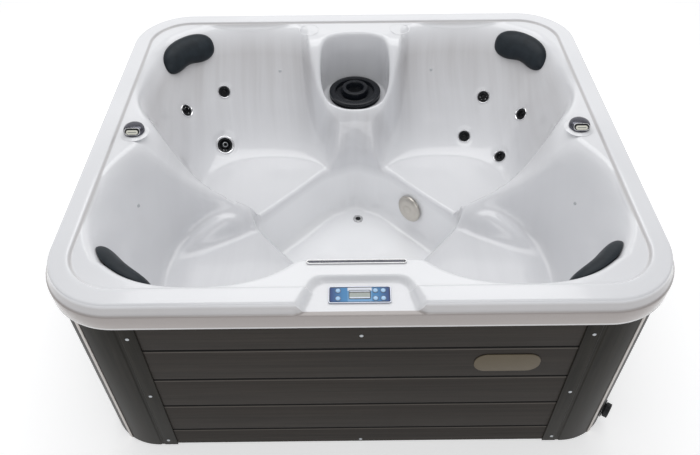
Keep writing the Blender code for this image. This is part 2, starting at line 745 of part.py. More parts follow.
def meshed(drawn, name, finish, group):
    """Turn a curve object into a closed mesh piece, and remove the curve."""
    bpy.context.view_layer.update()
    seen = drawn.evaluated_get(bpy.context.evaluated_depsgraph_get())
    mesh = bpy.data.meshes.new_from_object(seen)
    place = drawn.matrix_world.copy()
    bpy.data.objects.remove(drawn)
    shape = bmesh.new()
    shape.from_mesh(mesh)
    bmesh.ops.remove_doubles(shape, verts=shape.verts, dist=MERGE)
    bmesh.ops.recalc_face_normals(shape, faces=shape.faces)
    shape.to_mesh(mesh)
    shape.free()
    mesh.materials.clear()
    thing = put(name, mesh, finish, group)
    thing.matrix_world = place
    return thing


def combine(thing, cutters, operation="DIFFERENCE"):
    """Cut a piece by every object of a collection, or join them to it."""
    change = thing.modifiers.new(operation.title(), "BOOLEAN")
    change.operation = operation
    change.operand_type = "COLLECTION"
    change.collection = cutters
    change.solver = "EXACT"


def aim(thing, place, normal):
    """Stand a piece at a place with its own Z along a normal."""
    thing.location = place
    thing.rotation_mode = "QUATERNION"
    thing.rotation_quaternion = Vector(normal).to_track_quat("Z", "Y")


def circle_points(radius, steps):
    return [(radius * math.cos(math.tau * step / steps),
             radius * math.sin(math.tau * step / steps)) for step in range(steps)]


def make_shell(parts, cutters):
    """The one-piece acrylic shell, drawn as rings and thickened below its upper face."""
    rows = np.array(shell_rings())
    mesh = bpy.data.meshes.new("acrylic_shell")
    shape = bmesh.new()
    bmesh.ops.create_grid(shape, x_segments=SHELL_SPOKES, y_segments=len(rows) - 1, size=1.0)
    for corner in shape.verts:
        spoke = round((corner.co.x + 1.0) / 2 * SHELL_SPOKES)
        ring = round((corner.co.y + 1.0) / 2 * (len(rows) - 1))
        corner.co = rows[ring, spoke]
    bmesh.ops.remove_doubles(shape, verts=shape.verts, dist=MERGE)
    for face in shape.faces:
        face.normal_update()
    upright = sum(face.normal.z for face in shape.faces)
    if upright < 0.0:
        bmesh.ops.reverse_faces(shape, faces=shape.faces)
    shape.to_mesh(mesh)
    shape.free()
    shell = put("acrylic_shell", mesh, ACRYLIC, parts)
    wall = shell.modifiers.new("Wall", "SOLIDIFY")
    wall.thickness = SHELL_THICK
    wall.offset = -1.0
    wall.use_even_offset = False
    thin = shell.modifiers.new("Fewer faces", "DECIMATE")
    thin.ratio = SHELL_KEEP
    combine(shell, cutters)
    return shell


def board_profile(height_bottom, height_top):
    """Cross-section of a clad panel: depth behind its face, and height, with V grooves."""
    points = [(PANEL_THICK, height_bottom), (0.0, height_bottom)]
    groove = TOP_BOARD_Z
    grooves = []
    while groove > height_bottom + BOARD_PITCH / 4:
        grooves.append(groove)
        groove -= BOARD_PITCH
    for centre in reversed(grooves):
        points.append((0.0, centre - GROOVE_WIDTH / 2))
        points.append((GROOVE_DEPTH, centre))
        points.append((0.0, centre + GROOVE_WIDTH / 2))
    points.append((0.0, height_top))
    points.append((PANEL_THICK, height_top))
    return points


def make_panels(parts):
    """The four clad panels, each cut to the flat stretch between two corner covers."""
    profile = board_profile(CABINET_FOOT, CABINET_TOP)
    sides = (("front_panel", PANEL_HALF_X, CABINET_Y, 0.0),
             ("right_panel", PANEL_HALF_Y, CABINET_X, math.pi / 2),
             ("rear_panel", PANEL_HALF_X, CABINET_Y, math.pi),
             ("left_panel", PANEL_HALF_Y, CABINET_X, -math.pi / 2))
    for name, half, distance, turn in sides:
        panel = prism(name, [profile], 2 * half, BOARDS, parts)
        across = Matrix(((0, 0, 1), (1, 0, 0), (0, 1, 0))).to_4x4()
        place = Matrix.Translation((0.0, -distance, 0.0)) @ across
        panel.matrix_world = Matrix.Rotation(turn, 4, "Z") @ place


def cover_outline():
    """Plan of the front right corner cover: a flange, a quarter bend and a flange."""
    lift = GAP
    outer = CABINET_CORNER + lift + COVER_THICK
    inner = CABINET_CORNER + lift
    turns = [math.pi / 2 * step / COVER_STEPS - math.pi / 2 for step in range(COVER_STEPS + 1)]
    outside = [(outer * math.cos(turn), outer * math.sin(turn)) for turn in turns]
    inside = [(inner * math.cos(turn), inner * math.sin(turn)) for turn in reversed(turns)]
    start = [(-COVER_FLANGE, -inner), (-COVER_FLANGE, -outer)]
    end = [(outer, COVER_FLANGE), (inner, COVER_FLANGE)]
    return start + outside + end + inside


def corner_places():
    """Name, plan centre of the bend and turn of each corner, seen from above."""
    return (("front_right", PANEL_HALF_X, -PANEL_HALF_Y, 0.0),
            ("rear_right", PANEL_HALF_X, PANEL_HALF_Y, math.pi / 2),
            ("rear_left", -PANEL_HALF_X, PANEL_HALF_Y, math.pi),
            ("front_left", -PANEL_HALF_X, -PANEL_HALF_Y, -math.pi / 2))


def make_corners(parts, cutters):
    """The four bent corner covers and the light trim strips down them, nearer the ends."""
    height = CABINET_TOP - COVER_FOOT
    outer = CABINET_CORNER + GAP + COVER_THICK
    facet = outer * math.cos(math.pi / 4 / COVER_STEPS)
    for name, x, y, turn in corner_places():
        cover = prism("corner_cover_" + name, [cover_outline()], height, COVER, parts)
        place = Matrix.Translation((x, y, COVER_FOOT + height / 2))
        cover.matrix_world = place @ Matrix.Rotation(turn, 4, "Z")
        if name == "front_right":
            combine(cover, cutters)
        low = (facet + GAP, -TRIM_WIDTH / 2, 0.0)
        high = (facet + GAP + TRIM_THICK, TRIM_WIDTH / 2, height)
        strip = box("corner_trim_" + name, low, high, TRIM, parts, TRIM_ROUND)
        middle = strip.location.copy()
        share = (TRIM_FLAT + 1 / 2) / COVER_STEPS
        if name in ("front_right", "rear_left"):
            share = 1.0 - share
        lean = Matrix.Rotation(turn - math.pi / 2 * share, 4, "Z")
        stand = Matrix.Translation((x, y, COVER_FOOT)) @ lean
        strip.matrix_world = stand @ Matrix.Translation(middle)


def make_tray(parts, helpers):
    """The moulded base tray, whose low wall stands inside the panels."""
    half_x = CABINET_X - PANEL_THICK - GAP
    half_y = CABINET_Y - PANEL_THICK - GAP
    corner = CABINET_CORNER - PANEL_THICK
    outer = rounded_rectangle(half_x, half_y, corner, FRAME_CORNER_STEPS)
    inner = rounded_rectangle(half_x - TRAY_WALL, half_y - TRAY_WALL,
                              corner - TRAY_WALL, FRAME_CORNER_STEPS)
    tray = prism("base_tray", [outer], TRAY_HEIGHT, BLACK, parts)
    tray.location.z = TRAY_HEIGHT / 2
    hollow = prism("tray_hollow", [inner], TRAY_HEIGHT, None, helpers)
    hollow.location.z = TRAY_HEIGHT / 2 + TRAY_FLOOR
    combine(tray, helpers)


def frame_ring(name, half_x, half_y, corner, top, group):
    """A level ring of tube with bent corners."""
    outer = rounded_rectangle(half_x, half_y, corner, FRAME_CORNER_STEPS)
    inner = rounded_rectangle(half_x - TUBE, half_y - TUBE, corner - TUBE, FRAME_CORNER_STEPS)
    ring = prism(name, [outer, inner], TUBE, STEEL, group)
    ring.location.z = top - TUBE / 2
    return ring


def make_frame(parts, members):
    """The welded steel frame: base ring, top ring, posts to the deck and footwell cradle."""
    half_x = CABINET_X - PANEL_THICK - TRAY_WALL - 2 * GAP
    half_y = CABINET_Y - PANEL_THICK - TRAY_WALL - 2 * GAP
    corner = CABINET_CORNER - PANEL_THICK - TRAY_WALL
    base = TRAY_FLOOR + GAP
    frame = frame_ring("steel_frame", half_x, half_y, corner, base + TUBE, parts)
    frame_ring("top_ring", half_x, half_y, corner, RING_TOP, members)
    bend_x = half_x - corner
    bend_y = half_y - corner
    out = (corner - POST_INSET) / math.sqrt(2)
    post_top = DECK_Z - SHELL_THICK - SHELL_EASE
    for sign_x in (-1, 1):
        for sign_y in (-1, 1):
            x = sign_x * (bend_x + out)
            y = sign_y * (bend_y + out)
            half = TUBE / 2
            post = box("post", (-half, -half, base), (half, half, post_top), None, members)
            turned_place = Matrix.Translation((x, y, (base + post_top) / 2))
            post.matrix_world = turned_place @ Matrix.Rotation(math.pi / 4, 4, "Z")
            upright_x = sign_x * BRACE_SIDE
            wall_y = sign_y * (half_y - half)
            box("upright", (upright_x - half, wall_y - half, base + half),
                (upright_x + half, wall_y + half, RING_TOP - half), None, members)
        x = sign_x * CRADLE_SIDE
        box("runner", (x - half, -half_y + half, base), (x + half, half_y - half, base + TUBE),
            None, members)
    cradle_top = FOOT_Z - SHELL_THICK - SHELL_EASE
    for sign_y in (-1, 1):
        y = sign_y * CRADLE_Y + FOOT_CENTRE_Y
        reach = CRADLE_SIDE + half
        box("bearer", (-reach, y - half, cradle_top - TUBE), (reach, y + half, cradle_top),
            None, members)
        for sign_x in (-1, 1):
            x = sign_x * CRADLE_SIDE
            box("leg", (x - half, y - half, base + half), (x + half, y + half, cradle_top - half),
                None, members)
    for thing in members.objects:
        thing.hide_render = True
        thing.display_type = "WIRE"
    combine(frame, members, "UNION")


def pillow_spot(mouth, pan, pan_z, side, angle, fall):
    """A point of a seat's wall by its angle round the bowl and its fall below the deck."""
    share = 1.0 - fall / (DECK_Z - pan_z)
    centre_x = pan.x + (mouth.x - pan.x) * share
    centre_y = pan.y + (mouth.y - pan.y) * share
    half_x = pan.half_x + (mouth.half_x - pan.half_x) * share
    half_y = pan.half_y + (mouth.half_y - pan.half_y) * share
    cosine = math.cos(angle)
    sine = math.sin(angle)
    x = centre_x + half_x * math.copysign(abs(cosine) ** (2 / SEAT_POWER), cosine)
    y = centre_y + half_y * math.copysign(abs(sine) ** (2 / SEAT_POWER), sine)
    return Vector((side * x, y, DECK_Z - fall))


def pillow_mesh(name, mouth, pan, pan_z, side, angle, grow):
    """A crowned pillow that lies on a seat's wall, pinched in the middle of its lower edge."""
    cage = bmesh.new()
    bmesh.ops.create_cube(cage, size=2.0)
    rounded = bpy.data.meshes.new(name + "_cage")
    cage.to_mesh(rounded)
    cage.free()
    holder = bpy.data.objects.new(name + "_cage", rounded)
    bpy.context.scene.collection.objects.link(holder)
    soft = holder.modifiers.new("Round", "SUBSURF")
    soft.levels = PILLOW_LEVELS
    soft.render_levels = PILLOW_LEVELS
    bpy.context.view_layer.update()
    seen = holder.evaluated_get(bpy.context.evaluated_depsgraph_get())
    mesh = bpy.data.meshes.new_from_object(seen)
    bpy.data.objects.remove(holder)
    half_x = mouth.half_x
    spread = PILLOW_HALF / half_x
    wall_length = math.dist(pillow_spot(mouth, pan, pan_z, side, angle, 0.0),
                            pillow_spot(mouth, pan, pan_z, side, angle, PILLOW_TALL))
    fall_share = PILLOW_TALL / wall_length
    reach = max(corner.co.x for corner in mesh.vertices)
    for corner in mesh.vertices:
        u, v, w = (value / reach for value in corner.co)
        u = math.copysign(abs(u) ** PILLOW_SQUARE, u)
        v = math.copysign(abs(v) ** PILLOW_SQUARE, v)
        u *= 1.0 + grow / PILLOW_HALF
        v *= 1.0 + 2 * grow / PILLOW_TALL
        pinch = PILLOW_PINCH * math.exp(-(PILLOW_PINCH_SPREAD * u) ** 2)
        upward = (1.0 + v) / 2 * (1.0 - pinch * (1.0 - max(v, -1.0)) / 2)
        fall = PILLOW_TOP_DROP + PILLOW_TALL * fall_share * (1.0 - upward * (1.0 - pinch) - pinch)
        spot = pillow_spot(mouth, pan, pan_z, side, angle + spread * u, fall)
        near_x = pillow_spot(mouth, pan, pan_z, side, angle + spread * u + GAP, fall)
        near_z = pillow_spot(mouth, pan, pan_z, side, angle + spread * u, fall + GAP)
        normal = (near_x - spot).cross(near_z - spot).normalized()
        middle = Vector((side * pan.x, pan.y, DECK_Z))
        if normal.dot(middle - spot) < 0.0:
            normal = -normal
        lift = PILLOW_THICK * w if w > 0.0 else PILLOW_BACK * w
        corner.co = spot + normal * (lift + grow * w)
    shape = bmesh.new()
    shape.from_mesh(mesh)
    bmesh.ops.recalc_face_normals(shape, faces=shape.faces)
    shape.to_mesh(mesh)
    shape.free()
    return mesh


def make_pillows(parts, cutters):
    """The four headrest pillows, each in a shallow recess of its own shape."""
    rows = (("rear", REAR_MOUTH, REAR_PAN, REAR_PAN_Z, REAR_PILLOW_ANGLE),
            ("front", FRONT_MOUTH, FRONT_PAN, FRONT_PAN_Z, FRONT_PILLOW_ANGLE))
    for row, mouth, pan, pan_z, angle in rows:
        for hand, side in (("left", -1), ("right", 1)):
            name = "pillow_" + row + "_" + hand
            put(name, pillow_mesh(name, mouth, pan, pan_z, side, angle, 0.0), FOAM, parts)
            recess = pillow_mesh(name + "_recess", mouth, pan, pan_z, side, angle, PILLOW_EASE)
            put(name + "_recess", recess, None, cutters)


def clear_of(radius, steps):
    """Radius of a many-sided hole whose flats stay a gap clear of a turning piece's corners."""
    return (radius + GAP) / math.cos(math.pi / steps)


def within(radius, steps):
    """Radius of a turning piece whose corners stay a gap clear of a many-sided hole's flats."""
    return radius * math.cos(math.pi / steps) - GAP


def hole(name, radius, seat_radius, seat_depth, place, normal, cutters, steps=ROUND_STEPS):
    """A round hole through the shell with a flat seat sunk into its upper face."""
    outline = ((0.0, OVERRUN), (seat_radius, OVERRUN), (seat_radius, -seat_depth),
               (radius, -seat_depth), (radius, -OVERRUN - SHELL_THICK), (0.0, -OVERRUN - SHELL_THICK))
    cutter = turned(name, outline, None, cutters, steps)
    aim(cutter, place, normal)
    return cutter


def make_filter(parts, cutters):
    """The filter: a canister below the well, a pleated cartridge in it and the lid above."""
    place = Vector((0.0, FILTER_Y, WELL_Z))
    hole("filter_hole", CANISTER_RADIUS + GAP * 2, LID_RADIUS + GAP * 2, GAP, place,
         (0.0, 0.0, 1.0), cutters)
    flange_low = SHELL_EASE
    flange_top = flange_low + CANISTER_FLANGE_THICK
    bore = CANISTER_RADIUS - CANISTER_WALL
    canister = turned("filter_canister", (
        (bore, flange_top), (CANISTER_FLANGE, flange_top), (CANISTER_FLANGE, flange_low),
        (CANISTER_RADIUS, flange_low), (CANISTER_RADIUS, -CANISTER_DEPTH),
        (0.0, -CANISTER_DEPTH), (0.0, CANISTER_WALL - CANISTER_DEPTH),
        (bore, CANISTER_WALL - CANISTER_DEPTH)), BLACK, parts, closed=True)
    canister.location = place
    make_lid(parts, flange_top)
    make_cartridge(parts)


def make_lid(parts, flange_top):
    """The filter lid: a raised edge, a sunk channel and a raised hub with an open middle."""
    top = LID_TALL
    rest = flange_top + GAP
    skirt = CANISTER_RADIUS - CANISTER_WALL - GAP * 3
    land = LID_EDGE / 2
    lid = turned("filter_lid", (
        (LID_HOLE, top), (LID_HUB, top), (LID_HUB + land / 2, rest + land),
        (LID_CHANNEL, rest + land), (LID_CHANNEL + land / 2, top - land / 2),
        (LID_RADIUS - land, top - land / 4), (LID_RADIUS, top - land),
        (LID_RADIUS, rest), (skirt, rest), (skirt, rest - LID_EDGE), (LID_HOLE, rest - LID_EDGE)),
        BLACK, parts, closed=True)
    lid.location = (0.0, FILTER_Y, WELL_Z)


def make_cartridge(parts):
    """The pleated paper cartridge between its two end caps, hung from the lid."""
    top = WELL_Z + SHELL_EASE + CANISTER_FLANGE_THICK - LID_EDGE
    bottom = WELL_Z - CANISTER_DEPTH + CANISTER_WALL + CARTRIDGE_CLEAR
    pleats = []
    for step in range(2 * CARTRIDGE_PLEATS):
        turn = math.pi * step / CARTRIDGE_PLEATS
        radius = CARTRIDGE_RADIUS - (CARTRIDGE_PLEAT_DEPTH if step % 2 else CARTRIDGE_CAP / 4)
        pleats.append((radius * math.cos(turn), radius * math.sin(turn)))
    core = list(reversed(circle_points(CARTRIDGE_CORE, SMALL_STEPS)))
    cartridge = prism("filter_cartridge", [pleats, core], top - bottom, PAPER, parts)
    cartridge.location = (0.0, FILTER_Y, (top + bottom) / 2)


def make_diverters(parts, cutters):
    """The two water diverters: a valve with its deck ring, and the knob on its spindle."""
    socket = clear_of(SPINDLE_RADIUS, ROUND_STEPS)
    for hand, side in (("left", -1), ("right", 1)):
        place = Vector((side * DIVERTER_SIDE, DIVERTER_Y, DECK_Z))
        hole("diverter_hole_" + hand, VALVE_RADIUS + GAP * 2, DIVERTER_RING + GAP * 2, GAP, place,
             (0.0, 0.0, 1.0), cutters)
        low = SHELL_EASE
        top = low + DIVERTER_RING_THICK
        spindle = top + SPINDLE_LENGTH
        valve = turned("diverter_valve_" + hand, (
            (0.0, spindle), (SPINDLE_RADIUS, spindle), (SPINDLE_RADIUS, top),
            (DIVERTER_RING - DIVERTER_RING_THICK, top), (DIVERTER_RING, low + GAP),
            (DIVERTER_RING, low), (VALVE_RADIUS, low), (VALVE_RADIUS, -VALVE_LENGTH),
            (0.0, -VALVE_LENGTH)), WHITE, parts)
        valve.location = place
        knob = turned("diverter_knob_" + hand, (
            (0.0, KNOB_HEIGHT), (KNOB_RADIUS * 0.55, KNOB_HEIGHT * 0.92),
            (KNOB_RADIUS * 0.85, KNOB_HEIGHT * 0.68), (KNOB_RADIUS, KNOB_HEIGHT * 0.3),
            (KNOB_RADIUS, GAP), (socket, GAP), (socket, SPINDLE_LENGTH + GAP),
            (0.0, SPINDLE_LENGTH + GAP)),
            CHROME, parts)
        knob.location = place + Vector((0.0, 0.0, top))
        grip = box("knob_grip_" + hand,
                   (-KNOB_GRIP_LENGTH / 2, -KNOB_GRIP_WIDTH, KNOB_HEIGHT * 0.80),
                   (KNOB_GRIP_LENGTH / 2, 0.0, KNOB_HEIGHT + KNOB_GRIP_HEIGHT), None,
                   make_collection("knob_cut_" + hand))
        shift = Vector((0.0, -KNOB_RADIUS * 0.35, 0.0))
        grip.matrix_world = Matrix.Translation(knob.location + shift + grip.location)
        combine(knob, bpy.data.collections["knob_cut_" + hand])


def jet_body(name, jet, parts):
    """The housing behind the wall: a cup with a clamping nut and an air and a water port."""
    top = -jet.seat - GAP
    nut = -SHELL_THICK - SHELL_EASE * 3
    outline = ((jet.body - JET_WALL, top), (jet.body, top), (jet.body, nut),
               (jet.body + JET_NUT_PROUD, nut), (jet.body + JET_NUT_PROUD, nut - JET_NUT),
               (jet.body, nut - JET_NUT), (jet.body, top - jet.length), (0.0, top - jet.length),
               (0.0, top - jet.length + JET_WALL), (jet.body - JET_WALL, top - jet.length + JET_WALL))
    return turned(name, outline, WHITE, parts, JET_STEPS, closed=True)


def jet_face(name, jet, parts):
    """The turning face: a domed ring with a bore, and a spigot that seats in the housing."""
    low = -jet.seat + GAP
    spigot = within(jet.body - JET_WALL, JET_STEPS)
    outline = ((jet.bore, low + JET_FACE_THICK / 2), (jet.bore + JET_WALL, low + JET_FACE_THICK),
               (jet.face - JET_FACE_THICK, low + JET_FACE_THICK),
               (jet.face, low + JET_FACE_THICK / 3), (jet.face, low), (spigot, low),
               (spigot, low - JET_SPIGOT), (jet.bore, low - JET_SPIGOT))
    return turned(name, outline, CHROME, parts, JET_STEPS, closed=True)


def make_jets(parts, cutters):
    """Seven jets, each standing square to the seat wall on its own sunk seat."""
    places = [(place, SMALL_JET) for place in SMALL_JET_PLACES] + [(LARGE_JET_PLACE, LARGE_JET)]
    for number, ((x, y), jet) in enumerate(places, start=1):
        spot, normal = mould_point(x, y)
        hole(f"jet_hole_{number}", jet.body + GAP * 2, clear_of(jet.face, JET_STEPS), jet.seat,
             spot, normal, cutters, JET_STEPS)
        aim(jet_body(f"jet_body_{number}", jet, parts), spot, normal)
        aim(jet_face(f"jet_face_{number}", jet, parts), spot, normal)
    spot, normal = mould_point(*LARGE_JET_PLACE)
    ball = within(LARGE_JET.bore, JET_STEPS)
    mouth = math.asin(NOZZLE_BORE / ball)
    turns = [mouth + (math.pi - 2 * mouth) * step / NOZZLE_ARCS for step in range(NOZZLE_ARCS + 1)]
    outline = [(ball * math.sin(turn), ball * math.cos(turn)) for turn in turns]
    nozzle = turned("jet_nozzle", outline, BLACK, parts, JET_STEPS, closed=True)
    aim(nozzle, spot - normal * (LARGE_JET.seat + NOZZLE_SINK), normal)


def suction_spot():
    """The suction fitting's place on the footwell's rear right wall, and the wall's normal."""
    run = Vector((FOOT_SIDE, FOOT_SIDE_Y - FOOT_BACK, 0.0)).normalized()
    inward = Vector((run.y, -run.x, 0.0))
    lean = math.atan(FOOT_DRAFT)
    start = Vector((0.0, FOOT_BACK, SUCTION_Z)) + run * SUCTION_ALONG
    low = 0.0
    high = FOOT_LIP + FOOT_TOE + FOOT_Z * FOOT_DRAFT
    for _ in range(24):
        depth = (low + high) / 2
        spot = start + inward * depth
        above = mould_height(np.array([spot.x]), np.array([spot.y]))[0] > SUCTION_Z
        low = depth if above else low
        high = high if above else depth
    normal = (inward * math.cos(lean) + Vector((0.0, 0.0, math.sin(lean)))).normalized()
    return spot, normal


def make_suction(parts, cutters):
    """The suction body through the footwell wall, and its two-layer slotted cover."""
    spot, normal = suction_spot()
    hole("suction_hole", SUCTION_STEM + GAP * 2, SUCTION_RADIUS + GAP * 2, SUCTION_SEAT,
         spot, normal, cutters)
    low = -SUCTION_SEAT + GAP
    base = low + 0.004
    body = turned("suction_body", (
        (SUCTION_STEM - JET_WALL, base), (SUCTION_RADIUS * 0.88, base),
        (SUCTION_RADIUS * 0.88, low), (SUCTION_STEM, low), (SUCTION_STEM, -SUCTION_DEPTH),
        (0.0, -SUCTION_DEPTH), (0.0, JET_WALL - SUCTION_DEPTH),
        (SUCTION_STEM - JET_WALL, JET_WALL - SUCTION_DEPTH)), BLACK, parts, closed=True)
    aim(body, spot, normal)
    top = SUCTION_PROUD
    cover = turned("suction_cover", (
        (0.0, top), (SUCTION_RADIUS * 0.7, top), (SUCTION_RADIUS * 0.92, top * 0.85),
        (SUCTION_RADIUS, top * 0.62), (SUCTION_RADIUS, top * 0.5),
        (SUCTION_RADIUS * 0.9, top * 0.42), (SUCTION_RADIUS * 0.9, base + GAP),
        (SUCTION_RADIUS * 0.82, base + GAP), (SUCTION_RADIUS * 0.82, top * 0.42),
        (SUCTION_RADIUS * 0.3, top * 0.6), (0.0, top * 0.6)), NICKEL, parts)
    aim(cover, spot, normal)


def make_drain(parts, cutters):
    """The small drain grate in the footwell floor."""
    place = Vector((*DRAIN_PLACE, FOOT_Z))
    hole("drain_hole", DRAIN_STEM + GAP * 2, DRAIN_RADIUS + GAP * 2, GAP, place,
         (0.0, 0.0, 1.0), cutters, SMALL_STEPS)
    low = SHELL_EASE
    top = low + JET_WALL * 2
    drain = turned("floor_drain", (
        (DRAIN_STEM * 0.75, low), (DRAIN_STEM, top), (DRAIN_RADIUS - JET_WALL, top),
        (DRAIN_RADIUS, low + GAP), (DRAIN_RADIUS, low), (DRAIN_STEM, low),
        (DRAIN_STEM, -DRAIN_LENGTH), (0.0, -DRAIN_LENGTH), (0.0, low - JET_WALL),
        (DRAIN_STEM * 0.75, low - JET_WALL)), CHROME, parts, SMALL_STEPS, closed=True)
    drain.location = place


def make_waterfall(parts, cutters, helpers):
    """The long chrome waterfall spout let into the front deck."""
    half = FALL_LENGTH / 2
    ring = rounded_rectangle(half, FALL_WIDTH / 2, FALL_WIDTH / 2 - MERGE, 5)
    throat = rounded_rectangle(half - FALL_FRAME, FALL_WIDTH / 2 - FALL_FRAME,
                               FALL_WIDTH / 2 - FALL_FRAME - MERGE, 5)
    body = rounded_rectangle(half - FALL_FRAME / 2, (FALL_WIDTH - FALL_FRAME) / 2,
                             (FALL_WIDTH - FALL_FRAME) / 2 - MERGE, 5)
    slot = [(x * (1 + GAP / half), y * (1 + 4 * GAP / FALL_WIDTH)) for x, y in body]
    place = Vector((FALL_X, FALL_Y, DECK_Z))
    seat = [(x * (1 + GAP / half), y * (1 + 4 * GAP / FALL_WIDTH)) for x, y in ring]
    cutter = prism("waterfall_slot", [slot], 2 * OVERRUN, None, cutters)
    cutter.location = place
    flat = prism("waterfall_seat", [seat], OVERRUN, None, cutters)
    flat.location = place + Vector((0.0, 0.0, OVERRUN / 2 - GAP))
    spout = prism("waterfall_spout", [ring], FALL_PROUD, CHROME, parts)
    spout.location = place + Vector((0.0, 0.0, SHELL_EASE + FALL_PROUD / 2))
    stem = prism("spout_stem", [body], FALL_DEPTH, None, helpers[0])
    stem.location = place + Vector((0.0, 0.0, SHELL_EASE + FALL_PROUD / 2 - FALL_DEPTH / 2))
    mouth = prism("spout_mouth", [throat], FALL_DEPTH, None, helpers[1])
    mouth.location = place + Vector((0.0, 0.0, SHELL_EASE + FALL_PROUD))
    combine(spout, helpers[0], "UNION")
    combine(spout, helpers[1])


def panel_frame():
    """Place and tilt of the control panel on the notch floor."""
    height = notch_floor(PANEL_Y)
    normal = Vector((0.0, -NOTCH_FALL, 1.0)).normalized()
    return Vector((PANEL_X, PANEL_Y, height)), normal


def on_panel(thing, shift):
    """Stand a piece on the control panel at a shift along its own directions."""
    place, normal = panel_frame()
    turn = Vector((0.0, 0.0, 1.0)).rotation_difference(normal)
    thing.location = place + turn @ Vector(shift)
    thing.rotation_mode = "QUATERNION"
    thing.rotation_quaternion = turn


def make_controls(parts, cutters, helpers):
    """The control panel: a housing let into the notch, its window and its six buttons."""
    low = SHELL_EASE
    top = low + PANEL_PROUD
    inside_x = PANEL_LENGTH / 2 - PANEL_BOX_MARGIN
    inside_y = PANEL_WIDTH / 2 - PANEL_BOX_MARGIN
    face = rounded_rectangle(PANEL_LENGTH / 2, PANEL_WIDTH / 2, PANEL_ROUND, 4)
    back = rounded_rectangle(inside_x, inside_y, PANEL_ROUND, 4)
    room = rounded_rectangle(inside_x + GAP * 2, inside_y + GAP * 2, PANEL_ROUND, 4)
    cutter = prism("panel_slot", [room], 2 * OVERRUN, None, cutters)
    on_panel(cutter, (0.0, 0.0, 0.0))
    rest = rounded_rectangle(PANEL_LENGTH / 2 + GAP, PANEL_WIDTH / 2 + GAP, PANEL_ROUND, 4)
    flat = prism("panel_seat", [rest], OVERRUN, None, cutters)
    on_panel(flat, (0.0, 0.0, OVERRUN / 2 - GAP))
    bezel = prism("panel_bezel", [face], PANEL_PROUD, WHITE, parts)
    on_panel(bezel, (0.0, 0.0, low + PANEL_PROUD / 2))
    housing = prism("panel_housing", [back], PANEL_BOX_DEPTH, None, helpers[0])
    on_panel(housing, (0.0, 0.0, low + PANEL_PROUD / 2 - PANEL_BOX_DEPTH / 2))
    pane = rounded_rectangle(WINDOW_LENGTH / 2, WINDOW_WIDTH / 2, PANEL_ROUND / 3, 2)
    seat = rounded_rectangle(WINDOW_LENGTH / 2 + GAP, WINDOW_WIDTH / 2 + GAP, PANEL_ROUND / 3, 2)
    sink = prism("window_seat", [seat], WINDOW_DEPTH, None, helpers[1])
    on_panel(sink, (0.0, 0.0, top))
    window = prism("display_window", [pane], WINDOW_DEPTH / 2, WINDOW, parts)
    on_panel(window, (0.0, 0.0, top - WINDOW_DEPTH / 2 + WINDOW_DEPTH / 4 + GAP))
    for number, (x, y) in enumerate(BUTTON_PLACES, start=1):
        floor = top - BUTTON_WELL
        well = turned(f"button_well_{number}", (
            (0.0, BUTTON_WELL), (BUTTON_RADIUS + GAP, BUTTON_WELL),
            (BUTTON_RADIUS + GAP, -BUTTON_WELL), (0.0, -BUTTON_WELL)), None, helpers[1], SMALL_STEPS)
        on_panel(well, (x, y, top))
        button = turned(f"button_{number}", (
            (0.0, BUTTON_HEIGHT), (BUTTON_RADIUS * 0.6, BUTTON_HEIGHT * 0.93),
            (BUTTON_RADIUS, BUTTON_HEIGHT * 0.7), (BUTTON_RADIUS, 0.0), (0.0, 0.0)),
            BUTTON, parts, SMALL_STEPS // 2)
        on_panel(button, (x, y, floor + BUTTON_WELL / 3))
    combine(bezel, helpers[0], "UNION")
    combine(bezel, helpers[1])


def tap_frame():
    """Place and outward direction of the drain valve on its flat of the corner cover."""
    turn = -math.pi / 2 * (TAP_FLAT + 1 / 2) / COVER_STEPS
    outward = Vector((math.cos(turn), math.sin(turn), 0.0))
    reach = (CABINET_CORNER + GAP + COVER_THICK) * math.cos(math.pi / 4 / COVER_STEPS)
    return Vector((PANEL_HALF_X, -PANEL_HALF_Y, TAP_Z)) + outward * reach, outward


def make_tap(parts, cutters):
    """The outside drain valve on the corner cover, with its turning cap."""
    place, outward = tap_frame()
    bore = turned("tap_hole", ((0.0, OVERRUN), (TAP_BARREL + GAP * 2, OVERRUN),
                               (TAP_BARREL + GAP * 2, -OVERRUN - PANEL_THICK),
                               (0.0, -OVERRUN - PANEL_THICK)), None, cutters, SMALL_STEPS)
    aim(bore, place, outward)
    top = GAP + TAP_FLANGE_THICK
    end = top + TAP_BARREL_LENGTH
    valve = turned("drain_valve", (
        (0.0, end), (TAP_STEM, end), (TAP_STEM, top), (TAP_FLANGE - TAP_FLANGE_THICK / 2, top),
        (TAP_FLANGE, GAP + TAP_FLANGE_THICK / 2), (TAP_FLANGE, GAP), (TAP_BARREL, GAP),
        (TAP_BARREL, -TAP_TAIL), (0.0, -TAP_TAIL)), BLACK, parts, SMALL_STEPS)
    aim(valve, place, outward)
    outline = []
    for step in range(2 * TAP_RIBS):
        radius = TAP_CAP - (TAP_FLANGE_THICK / 3 if step % 2 else 0.0)
        turn = math.pi * step / TAP_RIBS
        outline.append((radius * math.cos(turn), radius * math.sin(turn)))
    cap = prism("drain_cap", [outline], TAP_CAP_LENGTH, BLACK, parts)
    socket_radius = clear_of(TAP_STEM, SMALL_STEPS)
    socket = turned("cap_socket", (
        (0.0, TAP_BARREL_LENGTH - TAP_CAP_LENGTH / 2 + GAP * 2),
        (socket_radius, TAP_BARREL_LENGTH - TAP_CAP_LENGTH / 2 + GAP * 2),
        (socket_radius, -TAP_CAP_LENGTH), (0.0, -TAP_CAP_LENGTH)), None,
        make_collection("cap_cut"), SMALL_STEPS)
    middle = place + outward * (top + GAP + TAP_CAP_LENGTH / 2)
    aim(cap, middle, outward)
    aim(socket, middle, outward)
    combine(cap, bpy.data.collections["cap_cut"])


